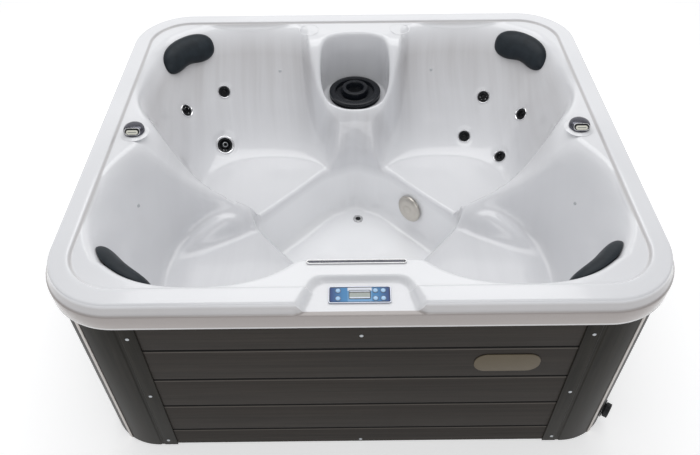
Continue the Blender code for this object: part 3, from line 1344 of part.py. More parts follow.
def make_pump(parts, helpers):
    """The pump under the left front seat: a finned motor on a foot, and its wet end."""
    floor = TRAY_FLOOR + GAP
    fins = []
    for step in range(2 * MOTOR_FINS):
        radius = MOTOR_RADIUS - (MOTOR_FIN_DEPTH if step % 2 else 0.0)
        turn = math.pi * step / MOTOR_FINS
        fins.append((radius * math.cos(turn), radius * math.sin(turn)))
    place = Vector((PUMP_X, PUMP_Y, PUMP_Z))
    motor = prism("pump_motor", [fins], MOTOR_LENGTH, MOTOR, parts)
    aim(motor, place, (1.0, 0.0, 0.0))
    foot_half = MOTOR_LENGTH * 0.35
    box("motor_foot", (PUMP_X - foot_half, PUMP_Y - PUMP_FOOT_HALF, floor),
        (PUMP_X + foot_half, PUMP_Y + PUMP_FOOT_HALF, floor + PUMP_FOOT_THICK), None, helpers[0])
    box("motor_web", (PUMP_X - foot_half * 0.8, PUMP_Y - PUMP_FOOT_HALF * 0.6, floor + PUMP_FOOT_THICK / 2),
        (PUMP_X + foot_half * 0.8, PUMP_Y + PUMP_FOOT_HALF * 0.6, PUMP_Z - MOTOR_RADIUS / 2),
        None, helpers[0])
    combine(motor, helpers[0], "UNION")
    wet = turned("pump_wet_end", (
        (0.0, VOLUTE_LENGTH), (PUMP_PORT_RADIUS, VOLUTE_LENGTH),
        (PUMP_PORT_RADIUS, VOLUTE_LENGTH * 0.6), (VOLUTE_RADIUS * 0.9, VOLUTE_LENGTH * 0.5),
        (VOLUTE_RADIUS, VOLUTE_LENGTH * 0.35), (VOLUTE_RADIUS, VOLUTE_LENGTH * 0.08), (VOLUTE_RADIUS * 0.85, 0.0), (0.0, 0.0)),
        BLACK, parts)
    end = place + Vector((MOTOR_LENGTH / 2 + GAP, 0.0, 0.0))
    aim(wet, end, (1.0, 0.0, 0.0))
    port = turned("wet_end_port", (
        (0.0, PUMP_PORT_LENGTH + VOLUTE_RADIUS), (PUMP_PORT_RADIUS, PUMP_PORT_LENGTH + VOLUTE_RADIUS),
        (PUMP_PORT_RADIUS, 0.0), (0.0, 0.0)), None, helpers[1], SMALL_STEPS)
    port.location = end + Vector((VOLUTE_LENGTH * 0.35, VOLUTE_RADIUS * 0.5, 0.0))
    combine(wet, helpers[1], "UNION")


def make_heater_and_box(parts, helpers):
    """The control box under the right front seat, with the heater tube in its top saddle."""
    floor = TRAY_FLOOR + GAP
    low = (BOX_X - BOX_LENGTH / 2, BOX_Y - BOX_WIDTH / 2, floor)
    high = (BOX_X + BOX_LENGTH / 2, BOX_Y + BOX_WIDTH / 2, floor + BOX_HEIGHT)
    housing = box("control_box", low, high, WHITE, parts, BOX_ROUND)
    axis_z = floor + BOX_HEIGHT + HEATER_RADIUS - HEATER_CRADLE
    place = Vector((BOX_X, BOX_Y, axis_z))
    half = HEATER_LENGTH / 2
    ring = half - HEATER_UNION_LENGTH
    heater = turned("heater", (
        (0.0, half), (HEATER_UNION, half), (HEATER_UNION, ring), (HEATER_RADIUS, ring),
        (HEATER_RADIUS, -ring), (HEATER_UNION, -ring), (HEATER_UNION, -half), (0.0, -half)),
        STEEL, parts, SMALL_STEPS)
    aim(heater, place, (1.0, 0.0, 0.0))
    groove = turned("heater_groove", (
        (0.0, ring + GAP), (HEATER_RADIUS + GAP, ring + GAP), (HEATER_RADIUS + GAP, -ring - GAP),
        (0.0, -ring - GAP)), None, helpers, SMALL_STEPS)
    aim(groove, place, (1.0, 0.0, 0.0))
    for side in (-1, 1):
        room = turned("union_groove", (
            (0.0, HEATER_UNION_LENGTH), (HEATER_UNION + GAP, HEATER_UNION_LENGTH),
            (HEATER_UNION + GAP, -HEATER_UNION_LENGTH), (0.0, -HEATER_UNION_LENGTH)),
            None, helpers, SMALL_STEPS)
        aim(room, place + Vector((side * (half - GAP), 0.0, 0.0)), (1.0, 0.0, 0.0))
    combine(housing, helpers)


def main():
    clear_scene()
    parts = make_collection("hot_tub")
    shell_cuts = make_collection("shell_cuts")
    cover_cuts = make_collection("cover_cuts")
    make_panels(parts)
    make_corners(parts, cover_cuts)
    make_tray(parts, make_collection("tray_cuts"))
    make_frame(parts, make_collection("frame_members"))
    make_pillows(parts, shell_cuts)
    make_filter(parts, shell_cuts)
    make_diverters(parts, shell_cuts)
    make_jets(parts, shell_cuts)
    make_suction(parts, shell_cuts)
    make_drain(parts, shell_cuts)
    make_waterfall(parts, shell_cuts, (make_collection("spout_joins"), make_collection("spout_cuts")))
    make_controls(parts, shell_cuts, (make_collection("bezel_joins"), make_collection("bezel_cuts")))
    make_tap(parts, cover_cuts)
    make_pump(parts, (make_collection("motor_joins"), make_collection("wet_end_joins")))
    make_heater_and_box(parts, make_collection("box_cuts"))
    make_shell(parts, shell_cuts)


main()
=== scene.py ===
"""Looks of the hot tub: shell, cabinet, pillows and fittings, laid out as an add-on."""
import math
from collections import namedtuple
from contextlib import contextmanager

import bmesh
import bpy
import numpy as np
from bpy.props import FloatVectorProperty, PointerProperty
from mathutils import Matrix, Vector


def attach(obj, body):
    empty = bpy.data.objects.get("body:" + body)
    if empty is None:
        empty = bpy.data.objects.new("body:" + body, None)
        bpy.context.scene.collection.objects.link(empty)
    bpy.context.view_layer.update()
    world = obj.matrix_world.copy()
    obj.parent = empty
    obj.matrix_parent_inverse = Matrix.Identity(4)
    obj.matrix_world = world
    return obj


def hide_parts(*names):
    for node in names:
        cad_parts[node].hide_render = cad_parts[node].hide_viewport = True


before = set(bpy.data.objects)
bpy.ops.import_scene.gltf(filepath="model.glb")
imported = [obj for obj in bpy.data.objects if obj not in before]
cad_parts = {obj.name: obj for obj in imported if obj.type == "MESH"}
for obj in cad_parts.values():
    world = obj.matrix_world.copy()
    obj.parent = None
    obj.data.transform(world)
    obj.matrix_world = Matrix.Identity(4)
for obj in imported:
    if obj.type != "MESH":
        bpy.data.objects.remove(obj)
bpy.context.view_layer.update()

bl_info = {
    "name": "Hot Tub Looks",
    "version": (1, 0, 0),
    "blender": (4, 5, 0),
    "location": "View3D > Sidebar > Hot Tub",
    "description": "Dresses the hot tub's frame with its shell, cabinet, pillows and fittings",
    "category": "Object",
}

# Overall sizes, as the frame has them
RIM_LENGTH = 1.82
RIM_WIDTH = 1.60
RIM_CORNER = 0.215
TUB_HEIGHT = 0.83
HALF_LENGTH = RIM_LENGTH / 2
HALF_WIDTH = RIM_WIDTH / 2
GAP = 0.0003
SHELL_EASE = 0.0006
TINY = 0.00002
PLATE_EASE = 0.0012
HANDS = (("left", -1), ("right", 1))

# Rim and rolled lip
SHELL_THICK = 0.008
BORDER_WIDTH = 0.056
BORDER_SLOPE = 0.010
BORDER_STEP = 0.009
LIP_DROP = 0.095
LIP_BAND = 0.036
LIP_PROUD = 0.015
LIP_FLARE = 0.010
LIP_ROUND = 0.008
LIP_STEP = 0.0012
LIP_EASE = 0.001
DECK_Z = TUB_HEIGHT - BORDER_STEP

# Where the lip's rings lie: shares of the border's slope, the border and the flare
SLOPE_RINGS = (0.0, 0.12, 0.3, 0.5, 0.7, 0.88, 1.0)
BORDER_RINGS = (0.8, 0.6, 0.4)
FLARE_RINGS = (0.35, 0.7, 0.93)
LIP_TURNS = 7

# Plan ovals of the moulded hollows, for the right half; the left half mirrors them
Oval = namedtuple("Oval", "x y half_x half_y")
LOFT_REACH = 1.6
REAR_MOUTH = Oval(HALF_LENGTH - 0.46, HALF_WIDTH - 0.44, 0.39, 0.39)
FRONT_MOUTH = Oval(HALF_LENGTH - 0.44, 0.44 - HALF_WIDTH, 0.37, 0.36)
REAR_PAN = Oval(0.36, 0.155, 0.27, 0.20)
REAR_PAN_Z = 0.36
REAR_SEAT_Z = 0.39
REAR_SEAT_SOFT = 0.10
FRONT_PAN = Oval(0.45, -0.36, 0.25, 0.25)
FRONT_PAN_Z = 0.38
FRONT_SEAT_Z = 0.41
FRONT_SEAT_SOFT = 0.09
SEAT_POWER = 2.4

# Column that carries the filter well, between the rear seats
COLUMN_CROWN = Oval(0.0, 0.72, 0.212, 0.345)
COLUMN_FOOT = Oval(0.0, 0.72, 0.236, 0.415)
COLUMN_POWER = 2.2
COLUMN_SOFT = 0.04
COLUMN_EDGE_SOFT = 0.035
WELL_OVAL = Oval(0.0, 0.530, 0.162, 0.147)
WELL_POWER = 2.6
WELL_Z = 0.59
WELL_LIP = 0.018
WELL_TOE = 0.010
WELL_DRAFT = 0.045
WELL_GATHER = 0.045
WELL_GATHER_POWER = 1.6

# Saddle: the armrests falling from the side decks to the crossing beside the footwell
SADDLE_Z = 0.44
CROSSING_SIDE = 0.45
CROSSING_Z = 0.50
CROSSING_SLOPE = 0.6
ARMREST_SIDE = 0.755
ARMREST_Z = 0.81
ARMREST_SLOPE = 1.5
ARMREST_SOFT = 0.06
SADDLE_BACK = 0.226
SADDLE_BACK_SLOPE = 1.0
SADDLE_FRONT = 0.56
SADDLE_FRONT_SLOPE = 6.0
SADDLE_SOFT = 0.04
SADDLE_CREST_SOFT = 0.07
EDGE_SOFT = 0.02
SHEET_SOFT = 0.013
SHEET_SAMPLES = 8

# Wedge-shaped rise between the back bowl and the seat of each front place
WEDGE_CORNERS = ((0.43, -0.085), (0.57, -0.09), (0.64, -0.165), (0.70, -0.275), (0.43, -0.085))
WEDGE_START = (0.50, -0.085)
WEDGE_RUN = (0.20, -0.19)
WEDGE_Z = 0.50
WEDGE_FALL = 0.09
WEDGE_SLOPE = 2.4
WEDGE_SOFT = 0.03
WEDGE_CORNER_SOFT = 0.02

# Footwell: a four-sided well whose back, side and front corners lie here in plan
FOOT_BACK = 0.4234
FOOT_SIDE = 0.4435
FOOT_SIDE_Y = -0.063
FOOT_FRONT = -0.58
FOOT_CORNERS = ((0.0, FOOT_BACK), (FOOT_SIDE, FOOT_SIDE_Y), (0.0, FOOT_FRONT))
FOOT_CENTRE_Y = -0.08
FOOT_TRIM_Y = 0.372
FOOT_TRIM_SOFT = 0.030
FOOT_END_ROUND = 0.012
FOOT_CORNER_SOFT = 0.05
FOOT_Z = 0.16
FOOT_LIP = 0.018
FRONT_LIP_EXTRA = 0.005
FRONT_LIP_FROM = 0.06
FRONT_LIP_FULL = 0.20
FOOT_TOE = 0.045
FOOT_DRAFT = 0.06
COLUMN_LIP = 0.060
COLUMN_TOE = 0.025
COLUMN_FRONT = Oval(0.0, 0.20, 0.10, 0.06)

# Control notch in the front rim
NOTCH_BACK_Y = -0.69
NOTCH_BACK_HALF = 0.137
NOTCH_FRONT_HALF = 0.188
NOTCH_FRONT_Y = -0.81
NOTCH_Z = 0.803
NOTCH_FALL = 0.10
NOTCH_CORNER_SOFT = 0.03
NOTCH_LIP = 0.006
NOTCH_TOE = 0.007
NOTCH_DRAFT = 0.5

# Mesh of the shell: rings and spokes, closer together at the well and the notch
SHELL_SPOKES = 512
FLOOR_RINGS = 10
WALL_RINGS = 24
SEAT_RINGS = 120
CROWD_BACK = 3.0
CROWD_BACK_WIDTH = math.radians(16)
CROWD_FRONT = 1.2
CROWD_FRONT_WIDTH = math.radians(18)
RIM_STEPS = 48
RIM_SAMPLES = 4001

# How often a range is halved to find a place in it
LOFT_HALVINGS = 22
RING_HALVINGS = 30
SPOT_HALVINGS = 24

# Steps of a full turn, from the widest pieces to the smallest dots
WIDE_STEPS = 96
DECK_RING_STEPS = 72
ROUND_STEPS = 64
SMALL_STEPS = 48
BUTTON_STEPS = 40
DOT_STEPS = 16

# Angles in degrees beyond which an edge stays sharp
PIECE_ANGLE = 40.0
FITTING_ANGLE = 50.0
SOFT_ANGLE = 60.0
COVER_ANGLE = 30.0
GROWN_ANGLE = 35.0

# Cabinet
CABINET_SIDE_INSET = 0.003
CABINET_END_INSET = 0.022
CABINET_CORNER = 0.19
CABINET_TOP = 0.752
CABINET_FOOT = 0.006
PANEL_THICK = 0.014
BOARD_PITCH = 0.159
TOP_BOARD_Z = 0.580
GROOVE_WIDTH = 0.007
GROOVE_DEPTH = 0.006
BOARD_EASE = 0.0016
BOARDS = 6
BOARDS_BELOW = 3.5
BOARD_LINE = 0.0085
BOARD_LINE_FADE = (0.0035, 0.0015)
CABINET_X = HALF_LENGTH - CABINET_SIDE_INSET
CABINET_Y = HALF_WIDTH - CABINET_END_INSET
PANEL_HALF_X = CABINET_X - CABINET_CORNER
PANEL_HALF_Y = CABINET_Y - CABINET_CORNER
COVER_THICK = 0.004
COVER_FLANGE = 0.063
COVER_STRIP = 0.046
COVER_VALLEY = 0.0025
VALLEY_SLOPE = 0.002
VALLEY_RISE = 0.004
VALLEY_END = 0.002
COVER_STEPS = 36
COVER_FOOT = 0.002

# Pillows
PILLOW_HALF = 0.148
PILLOW_TALL = 0.130
PILLOW_THICK = 0.040
PILLOW_BACK = 0.004
PILLOW_TOP_DROP = 0.012
PILLOW_PINCH = 0.12
PILLOW_PINCH_SPREAD = 2.4
PILLOW_SQUARE = 0.82
PILLOW_LEVELS = 5
Bowl = namedtuple("Bowl", "pan mouth pan_z angle")
REAR_BOWL = Bowl(REAR_PAN, REAR_MOUTH, REAR_PAN_Z, math.radians(45.5))
FRONT_BOWL = Bowl(FRONT_PAN, FRONT_MOUTH, FRONT_PAN_Z, math.radians(-47.0))

# Fittings on the deck
LID_RADIUS = 0.110
LID_EDGE = 0.014
LID_CHANNEL = 0.083
LID_HUB = 0.055
LID_HOLE = 0.038
LID_TALL = 0.044
LID_RING_DROP = 0.014
LID_RING_TALL = 0.014
LID_GROOVE = 0.006
LID_EASE = 0.001
CANISTER_RADIUS = 0.082
CANISTER_WALL = 0.003
CANISTER_FLANGE_THICK = 0.003
CANISTER_ROOM = 0.002
DIVERTER_SIDE = 0.783
DIVERTER_Y = -0.022
DIVERTER_RING = 0.0505
DIVERTER_RING_THICK = 0.005
DIVERTER_EASE = 0.001
KNOB_RADIUS = 0.0365
KNOB_HEIGHT = 0.026
KNOB_FOOT = 0.002
KNOB_DOME = ((1.0, 0.14), (1.0, 0.20), (0.995, 0.34), (0.98, 0.48), (0.93, 0.64), (0.86, 0.77),
             (0.76, 0.87), (0.62, 0.94), (0.44, 0.98), (0.22, 1.0), (0.0, 1.0))
KNOB_SILL = 0.18
KNOB_FRONT = 0.93
KNOB_SLOPE = 0.62
KNOB_OPENING = (0.0280, 0.0130)
KNOB_BAR = (0.0205, 0.0074)
GRIP_RING = 0.0022
GRIP_RING_RISE = (-0.002, 0.0014)
GRIP_RING_EASE = 0.0006
# Rise of a black sheet painted as the shade inside the knob's opening
GRIP_SHADE_RISE = (-0.002, 0.0004)
GRIP_BAR_RISE = (-0.001, 0.0030)
GRIP_BAR_EASE = 0.0014
GRIP_BAR_DROP = KNOB_OPENING[1] * 0.22
GRIP_LINE = (KNOB_BAR[0] * 0.72, 0.0008, 0.0007)
GRIP_LINE_RISE = (0.0026, 0.0032)
SPINDLE_RADIUS = 0.008
SPINDLE_LENGTH = 0.014
VALVE_RADIUS = 0.027
VALVE_LENGTH = 0.115

# Jets; profiles here and below give shares of a radius, and rises
SMALL_JET_PLACES = ((-0.567, 0.545), (-0.709, 0.418), (0.558, 0.524),
                    (0.699, 0.401), (0.477, 0.419), (0.617, 0.306))
LARGE_JET_PLACE = (-0.565, 0.382)
Jet = namedtuple("Jet", "face bore body seat")
SMALL_JET = Jet(0.029, 0.0125, 0.019, 0.0025)
LARGE_JET = Jet(0.041, 0.020, 0.029, 0.005)
JETS = (*((place, SMALL_JET) for place in SMALL_JET_PLACES), (LARGE_JET_PLACE, LARGE_JET))
JET_WALL = 0.0022
JET_SPIGOT = 0.016
JET_DISH = 0.78
JET_SINK = 0.004
JET_REST = 0.002
JET_HOLLOW = 1.42
JET_EASE = 0.0004
JET_RING = ((JET_DISH, 0.0), (JET_DISH, 0.0010), (0.89, 0.0046), (0.92, 0.0050),
            (0.97, 0.0040), (1.0, 0.0016), (1.0, 0.0))
JET_CORE = ((0.0, -0.008), (0.30, -0.008), (0.32, 0.0010), (0.48, 0.0014), (0.56, -0.003),
            (0.80, -0.003), (0.90, 0.0004), (1.0, 0.0), (1.0, -0.010), (0.0, -0.010))
NOZZLE_BORE = 0.008
NOZZLE_SINK = 0.010
NOZZLE_TILT = math.pi / 12
NOZZLE_RIM = 1.06
NOZZLE_RIM_WIDTH = 0.0022
NOZZLE_RIM_PROUD = 0.0006
NOZZLE_RIM_DEEP = 0.002

# Footwell fittings
SUCTION_ALONG = 0.371
SUCTION_Z = 0.292
SUCTION_RADIUS = 0.0595
SUCTION_PROUD = 0.026
SUCTION_SEAT = 0.002
SUCTION_SLOTS = 24
SUCTION_BASE = 0.004
SUCTION_CORE_DROP = 0.014
SUCTION_RIB = 0.0022
SUCTION_RIB_RING = SUCTION_RADIUS * 0.80
SUCTION_RIB_LENGTH = SUCTION_RADIUS * 0.20
SUCTION_OPENING = SUCTION_RADIUS * 0.55
SUCTION_DOME = ((0.0, 0.0), (0.30, -0.0002), (0.34, -0.0012), (0.38, -0.0004), (0.62, -0.0012),
                (0.80, -0.003), (0.92, -0.0065), (0.985, -0.0105), (1.0, -0.0135),
                (0.985, -0.0155), (0.90, -0.0165), (0.0, -0.0165))
SUCTION_HUB = ((0.0, 0.0), (0.70, 0.0), (0.66, 1.0), (0.0, 1.0))
SUCTION_SKIRT = ((0.78, 0.0), (0.90, 0.0), (0.92, 0.0015), (0.90, 0.003), (0.78, 0.003))
DRAIN_PLACE = (0.009, 0.202)
DRAIN_RADIUS = 0.022
DRAIN_HOLES = 6
DRAIN_HOLE = 0.0021
DRAIN_HOLE_RING = DRAIN_RADIUS * 0.34
DRAIN_OPENING = DRAIN_RADIUS * 0.7
DRAIN_GRATE = ((0.0, 0.0030), (0.55, 0.0032), (0.72, 0.0036), (0.76, 0.0050), (0.86, 0.0052),
               (0.96, 0.0034), (1.0, 0.0008), (1.0, 0.0), (0.0, 0.0))
DRAIN_DISC = ((0.0, 0.0036), (0.48, 0.0038), (0.52, 0.0030), (0.0, 0.0030))
DRAIN_DOT = ((0.0, 0.0036), (1.0, 0.0036), (1.0, 0.0028), (0.0, 0.0028))

# Waterfall and controls
FALL_X = -0.0105
FALL_Y = -0.645
FALL_LENGTH = 0.290
FALL_WIDTH = 0.016
FALL_FRAME = 0.0035
FALL_PROUD = 0.004
FALL_LAP = 0.004
FALL_REACH = 0.03
FALL_OPENING = FALL_WIDTH * 0.3
FALL_FLARE = (1.004, 1.10)
FALL_SLOT_RISE = (-0.012, -0.003)
FALL_THROAT_RISE = (-0.030, 0.001)
PANEL_X = -0.003
PANEL_Y = -0.748
PANEL_LENGTH = 0.178
PANEL_WIDTH = 0.064
PANEL_PROUD = 0.004
PANEL_ROUND = 0.006
PANEL_FRAME = 0.0032
PANEL_LINE = 0.0016
PANEL_TRIM = 0.004
PANEL_OUTLINES = ((0.0, PANEL_ROUND), (PANEL_FRAME, PANEL_ROUND * 0.7),
                  (PANEL_FRAME + PANEL_LINE, PANEL_ROUND * 0.5))
BEZEL_EASE = 0.0010
LINE_DROP = 0.0010
LABEL_DROP = 0.0008
WINDOW_LENGTH = 0.058
WINDOW_WIDTH = 0.026
WINDOW_ROUND = 0.003
WINDOW_OUTLINES = ((0.0, WINDOW_ROUND), (PANEL_LINE, 0.004))
WINDOW_RIM_DEEP = 0.0012
WINDOW_RIM_PROUD = 0.0001
PANE_DEEP = 0.003
PANE_DROP = 0.0002
BUTTON_RADIUS = 0.0068
BUTTON_SINK = 0.0035 * 2 / 3
BUTTON_HEIGHT = 0.0045
BUTTON_RING = 0.0012
BUTTON_RING_PROUD = 0.0002
BUTTON_DOME = ((0.0, 1.0), (0.35, 0.985), (0.62, 0.93), (0.82, 0.83), (0.94, 0.70), (1.0, 0.52),
               (1.0, 0.0), (0.0, 0.0))
BUTTON_PLACES = ((-0.061, 0.013), (-0.061, -0.013), (0.044, 0.013),
                 (0.044, -0.013), (0.066, 0.013), (0.066, -0.013))

# Drain tap on the right side
TAP_TURN = math.radians(-35)
TAP_Z = 0.080
TAP_FLANGE = 0.034
TAP_FLANGE_THICK = 0.004
TAP_BARREL_LENGTH = 0.016
TAP_STEM = 0.012
TAP_CAP = 0.027
TAP_CAP_LENGTH = 0.020
TAP_RIBS = 24
TAP_RIB = 0.0013
TAP_EASE = 0.001
TAP_CAP_ROWS = ((0.0, 0.70), (0.0008, 0.90), (0.0022, 1.0), (TAP_CAP_LENGTH - 0.0022, 1.0),
                (TAP_CAP_LENGTH - 0.0006, 0.93), (TAP_CAP_LENGTH, 0.80))

# Small fasteners and trim
SCREW_RADIUS = 0.0060
SCREW_PROUD = 0.0022
SCREW_ROWS = (0.646, 0.33, 0.033)
SCREW_INSET = 0.034
LOW_SCREW_X = 0.002
LOW_SCREW_Z = 0.019
SCREW_STEPS = 20
AIR_DOT = 0.0065
AIR_DOT_PROUD = AIR_DOT * 0.35
AIR_DOT_STEPS = 28
AIR_DOT_PLACES = ((-0.324, 0.611), (0.332, 0.611), (-0.767, -0.22), (0.763, -0.22))
BLANK_SIDE = 0.193
BLANK_Y = 0.683
BLANK_RADIUS = 0.043
BLANK_RING = ((0.0032, GAP), (0.0022, 0.0011), (0.0010, 0.0011), (0.0, GAP))
PLATE_X = 0.451
PLATE_Z = 0.501
PLATE_LENGTH = 0.204
PLATE_HEIGHT = 0.088
PLATE_THICK = 0.003
PLATE_FLAT = 0.004

# Camera: the photograph's own view
LENS = 34.80
SENSOR = 36.0
CAMERA_PLACE = Vector((-0.0298, -1.9448, 2.2771))
CAMERA_PITCH = math.radians(45.311)
CAMERA_YAW = math.radians(0.066)
CAMERA_ROLL = math.radians(-0.569)

# Studio: floor and backdrop, then each light's place, target, power and two sizes
FLOOR_FRONT = 9.0
FLOOR_BACK = 7.0
FLOOR_SIDE = 14.0
FLOOR_BEND = 3.0
FLOOR_STEPS = 12
FLOOR_GLOW = 0.42
BACKDROP_TALL = 9.0
SKY_COLOUR = (0.97, 0.98, 1.0, 1.0)
SKY_STRENGTH = 0.42
LIGHTS = (("overhead", (0.0, 0.9, 3.4), (0.0, 0.0, 0.4), 52.0, 3.4, 2.4),
          ("front_fill", (0.2, -3.2, 2.8), (0.0, 0.1, 0.3), 24.0, 3.0, 1.8),
          ("left_fill", (-3.4, 0.2, 2.2), (0.0, 0.0, 0.4), 5.0, 2.4, 1.8))

# Depths of the finest relief
BOARD_GRAIN = 0.0006
COVER_GRAIN = 0.0003
METAL_MARKS = 0.00004
PLASTIC_SKIN = 0.00006
PILLOW_SKIN = 0.0006
PAPER_PLEATS = 0.0003

# Colours that the panel doesn't offer
PEARL_FLECK = (0.90, 0.91, 0.93)
# Painted shade in the grooves between the boards
GROOVE_SHADE = (0.004, 0.0035, 0.003)
# Painted highlight along each board's upper edge
BOARD_EDGE_HIGHLIGHT = (0.13, 0.115, 0.10)
LABEL_HEAD = (0.74, 0.76, 0.82)
DISPLAY_FRAME = (0.62, 0.68, 0.78)
DISPLAY_HEAD = (0.05, 0.05, 0.055)
DISPLAY_GREY = (0.30, 0.34, 0.31)
DISPLAY_BARS = (0.16, 0.18, 0.17)
PAPER_SHADE = (0.74, 0.76, 0.79)
PAPER_LIGHT = (0.88, 0.89, 0.90)
LENS_TINT = (0.50, 0.52, 0.54)
FLOOR_GREY = (0.88, 0.88, 0.88)

# Where the shell's tones, its painted shade and its painted light set in and where they are full
WALL_SHADE_Z = (DECK_Z - 0.02, DECK_Z - 0.10)
PAN_SHADE_Z = (REAR_SEAT_Z + 0.14, REAR_SEAT_Z + 0.02)
FOOT_LIGHT_Z = (REAR_SEAT_Z + 0.01, REAR_SEAT_Z - 0.04)
FRONT_SHADE_Y = (0.02, -0.12)
COLUMN_SHADE_X = (0.30, 0.14)
COLUMN_SHADE_Y = (0.20, 0.32)
WELL_LIGHT_X = (0.20, 0.16)
WELL_LIGHT_Y = (0.37, 0.40)
BACK_TONE_Z = (REAR_SEAT_Z + 0.04, REAR_SEAT_Z + 0.22)
BACK_TONE_Y = (-0.1, 0.15)
TOP_TONE_Z = (REAR_SEAT_Z + 0.20, DECK_Z - 0.05)
TOP_TONE_Y = (0.2, 0.55)
BORDER_SHADE_LINE = (0.006, 0.002)
BORDER_SHADE_LINE_Y = (-0.74, -0.64)
LIP_SHADE_Z = (TUB_HEIGHT - LIP_ROUND, TUB_HEIGHT - LIP_ROUND * 2.0)
SKIRT_SHADE_Z = (TUB_HEIGHT - LIP_BAND + 0.003, TUB_HEIGHT - LIP_BAND - 0.003)
HEM_HIGHLIGHT_Z = (TUB_HEIGHT - LIP_DROP + 0.010, TUB_HEIGHT - LIP_DROP + 0.007)


def soft_max(first, second, reach):
    """The larger of two heights, with a rounded join of the given reach."""
    share = np.clip(0.5 + 0.5 * (first - second) / reach, 0.0, 1.0)
    return second + (first - second) * share + reach * share * (1.0 - share)


def soft_min(first, second, reach):
    """The smaller of two heights, with a rounded join of the given reach."""
    return -soft_max(-first, -second, reach)


def loft_height(x, y, inner, outer, inner_z, outer_z, power):
    """Height of a wall lofted from an inner oval to an outer one, flat inside the inner."""
    low = np.zeros_like(x)
    high = np.full_like(x, LOFT_REACH)
    for _ in range(LOFT_HALVINGS):
        middle = (low + high) / 2
        half_x = np.maximum(inner.half_x + (outer.half_x - inner.half_x) * middle, TINY)
        half_y = np.maximum(inner.half_y + (outer.half_y - inner.half_y) * middle, TINY)
        across = np.abs(x - inner.x - (outer.x - inner.x) * middle) / half_x
        along = np.abs(y - inner.y - (outer.y - inner.y) * middle) / half_y
        outside = across ** power + along ** power > 1.0
        low = np.where(outside, middle, low)
        high = np.where(outside, high, middle)
    return inner_z + (outer_z - inner_z) * high


def depth_inside(x, y, corners, rounding):
    """Distance inside an outline whose corners run clockwise, with its corners rounded."""
    depth = None
    for start, end in zip(corners, corners[1:]):
        run_x = end[0] - start[0]
        run_y = end[1] - start[1]
        run = math.hypot(run_x, run_y)
        across = (run_y * (x - start[0]) - run_x * (y - start[1])) / run
        depth = across if depth is None else soft_min(depth, across, rounding)
    return depth


def wall_drop(depth, top, floor, lip, toe, draft):
    """Height of a drafted wall with a rounded lip and toe, by the distance inside its edge."""
    lean = math.atan(draft)
    height = np.maximum(top - floor, TINY)
    share = np.minimum(1.0, height / ((lip + toe) * (1.0 - math.sin(lean))))
    lip = lip * share
    toe = toe * share
    lip_run = lip * math.cos(lean)
    toe_run = toe * math.cos(lean)
    lip_fall = lip * (1.0 - math.sin(lean))
    toe_fall = toe * (1.0 - math.sin(lean))
    wall_run = np.maximum(top - floor - lip_fall - toe_fall, 0.0) * draft
    at_lip = top - lip + np.sqrt(np.clip(lip * lip - depth * depth, 0.0, None))
    on_wall = top - lip_fall - (depth - lip_run) / draft
    rest = np.clip(lip_run + wall_run + toe_run - depth, 0.0, None)
    at_toe = floor + toe - np.sqrt(np.clip(toe * toe - rest * rest, 0.0, None))
    lower = np.where(depth < lip_run + wall_run, on_wall, at_toe)
    inside = np.where(depth < lip_run, at_lip, lower)
    return np.where(depth <= 0.0, top, np.minimum(inside, top))


def back_height(y):
    """The slope that rises from the crossing to the rear deck and caps the column."""
    return SADDLE_Z + (y - SADDLE_BACK) * SADDLE_BACK_SLOPE


def saddle_height(side, y):
    """The armrests and the crossing, and the inner faces of the front and back decks."""
    crossing = CROSSING_Z + (side - CROSSING_SIDE) * CROSSING_SLOPE
    armrest = ARMREST_Z + (side - ARMREST_SIDE) * ARMREST_SLOPE
    ramp = soft_max(crossing, armrest, ARMREST_SOFT)
    front = SADDLE_Z + (-SADDLE_FRONT - y) * SADDLE_FRONT_SLOPE
    floor = soft_max(np.full_like(side, SADDLE_Z), ramp, SADDLE_SOFT)
    return soft_max(floor, soft_max(back_height(y), front, EDGE_SOFT), SADDLE_SOFT)


def rear_seat_height(side, y):
    bowl = loft_height(side, y, REAR_PAN, REAR_MOUTH, REAR_PAN_Z, DECK_Z, SEAT_POWER)
    return soft_max(bowl, np.full_like(side, REAR_SEAT_Z), REAR_SEAT_SOFT)


def front_seat_height(side, y):
    bowl = loft_height(side, y, FRONT_PAN, FRONT_MOUTH, FRONT_PAN_Z, DECK_Z, SEAT_POWER)
    seat = soft_max(bowl, np.full_like(side, FRONT_SEAT_Z), FRONT_SEAT_SOFT)
    across = (side - WEDGE_START[0]) * WEDGE_RUN[0] + (y - WEDGE_START[1]) * WEDGE_RUN[1]
    along = np.clip(across / (WEDGE_RUN[0] ** 2 + WEDGE_RUN[1] ** 2), 0.0, 1.0)
    spread = depth_inside(side, y, WEDGE_CORNERS, WEDGE_CORNER_SOFT)
    slope = soft_min(np.zeros_like(side), spread, WEDGE_CORNER_SOFT)
    wedge = WEDGE_Z - WEDGE_FALL * along + WEDGE_SLOPE * slope
    return soft_max(seat, wedge, WEDGE_SOFT)


def column_height(side, y):
    column = loft_height(side, y, COLUMN_CROWN, COLUMN_FOOT, DECK_Z, REAR_SEAT_Z, COLUMN_POWER)
    return soft_min(column, back_height(y), COLUMN_EDGE_SOFT)


def foot_depth(x, y):
    """Distance inside the footwell's top edge."""
    side = np.sqrt(x * x + FOOT_END_ROUND ** 2)
    depth = depth_inside(side, y, FOOT_CORNERS, FOOT_CORNER_SOFT)
    return soft_min(depth, FOOT_TRIM_Y - y, FOOT_TRIM_SOFT)


def column_share(x, y):
    """How much of the column's wide lip and small toe the footwell's wall has at a place."""
    behind = np.clip((y - COLUMN_FRONT.y) / COLUMN_FRONT.half_y, 0.0, 1.0)
    return np.exp(-(x / COLUMN_FRONT.half_x) ** 2) * behind


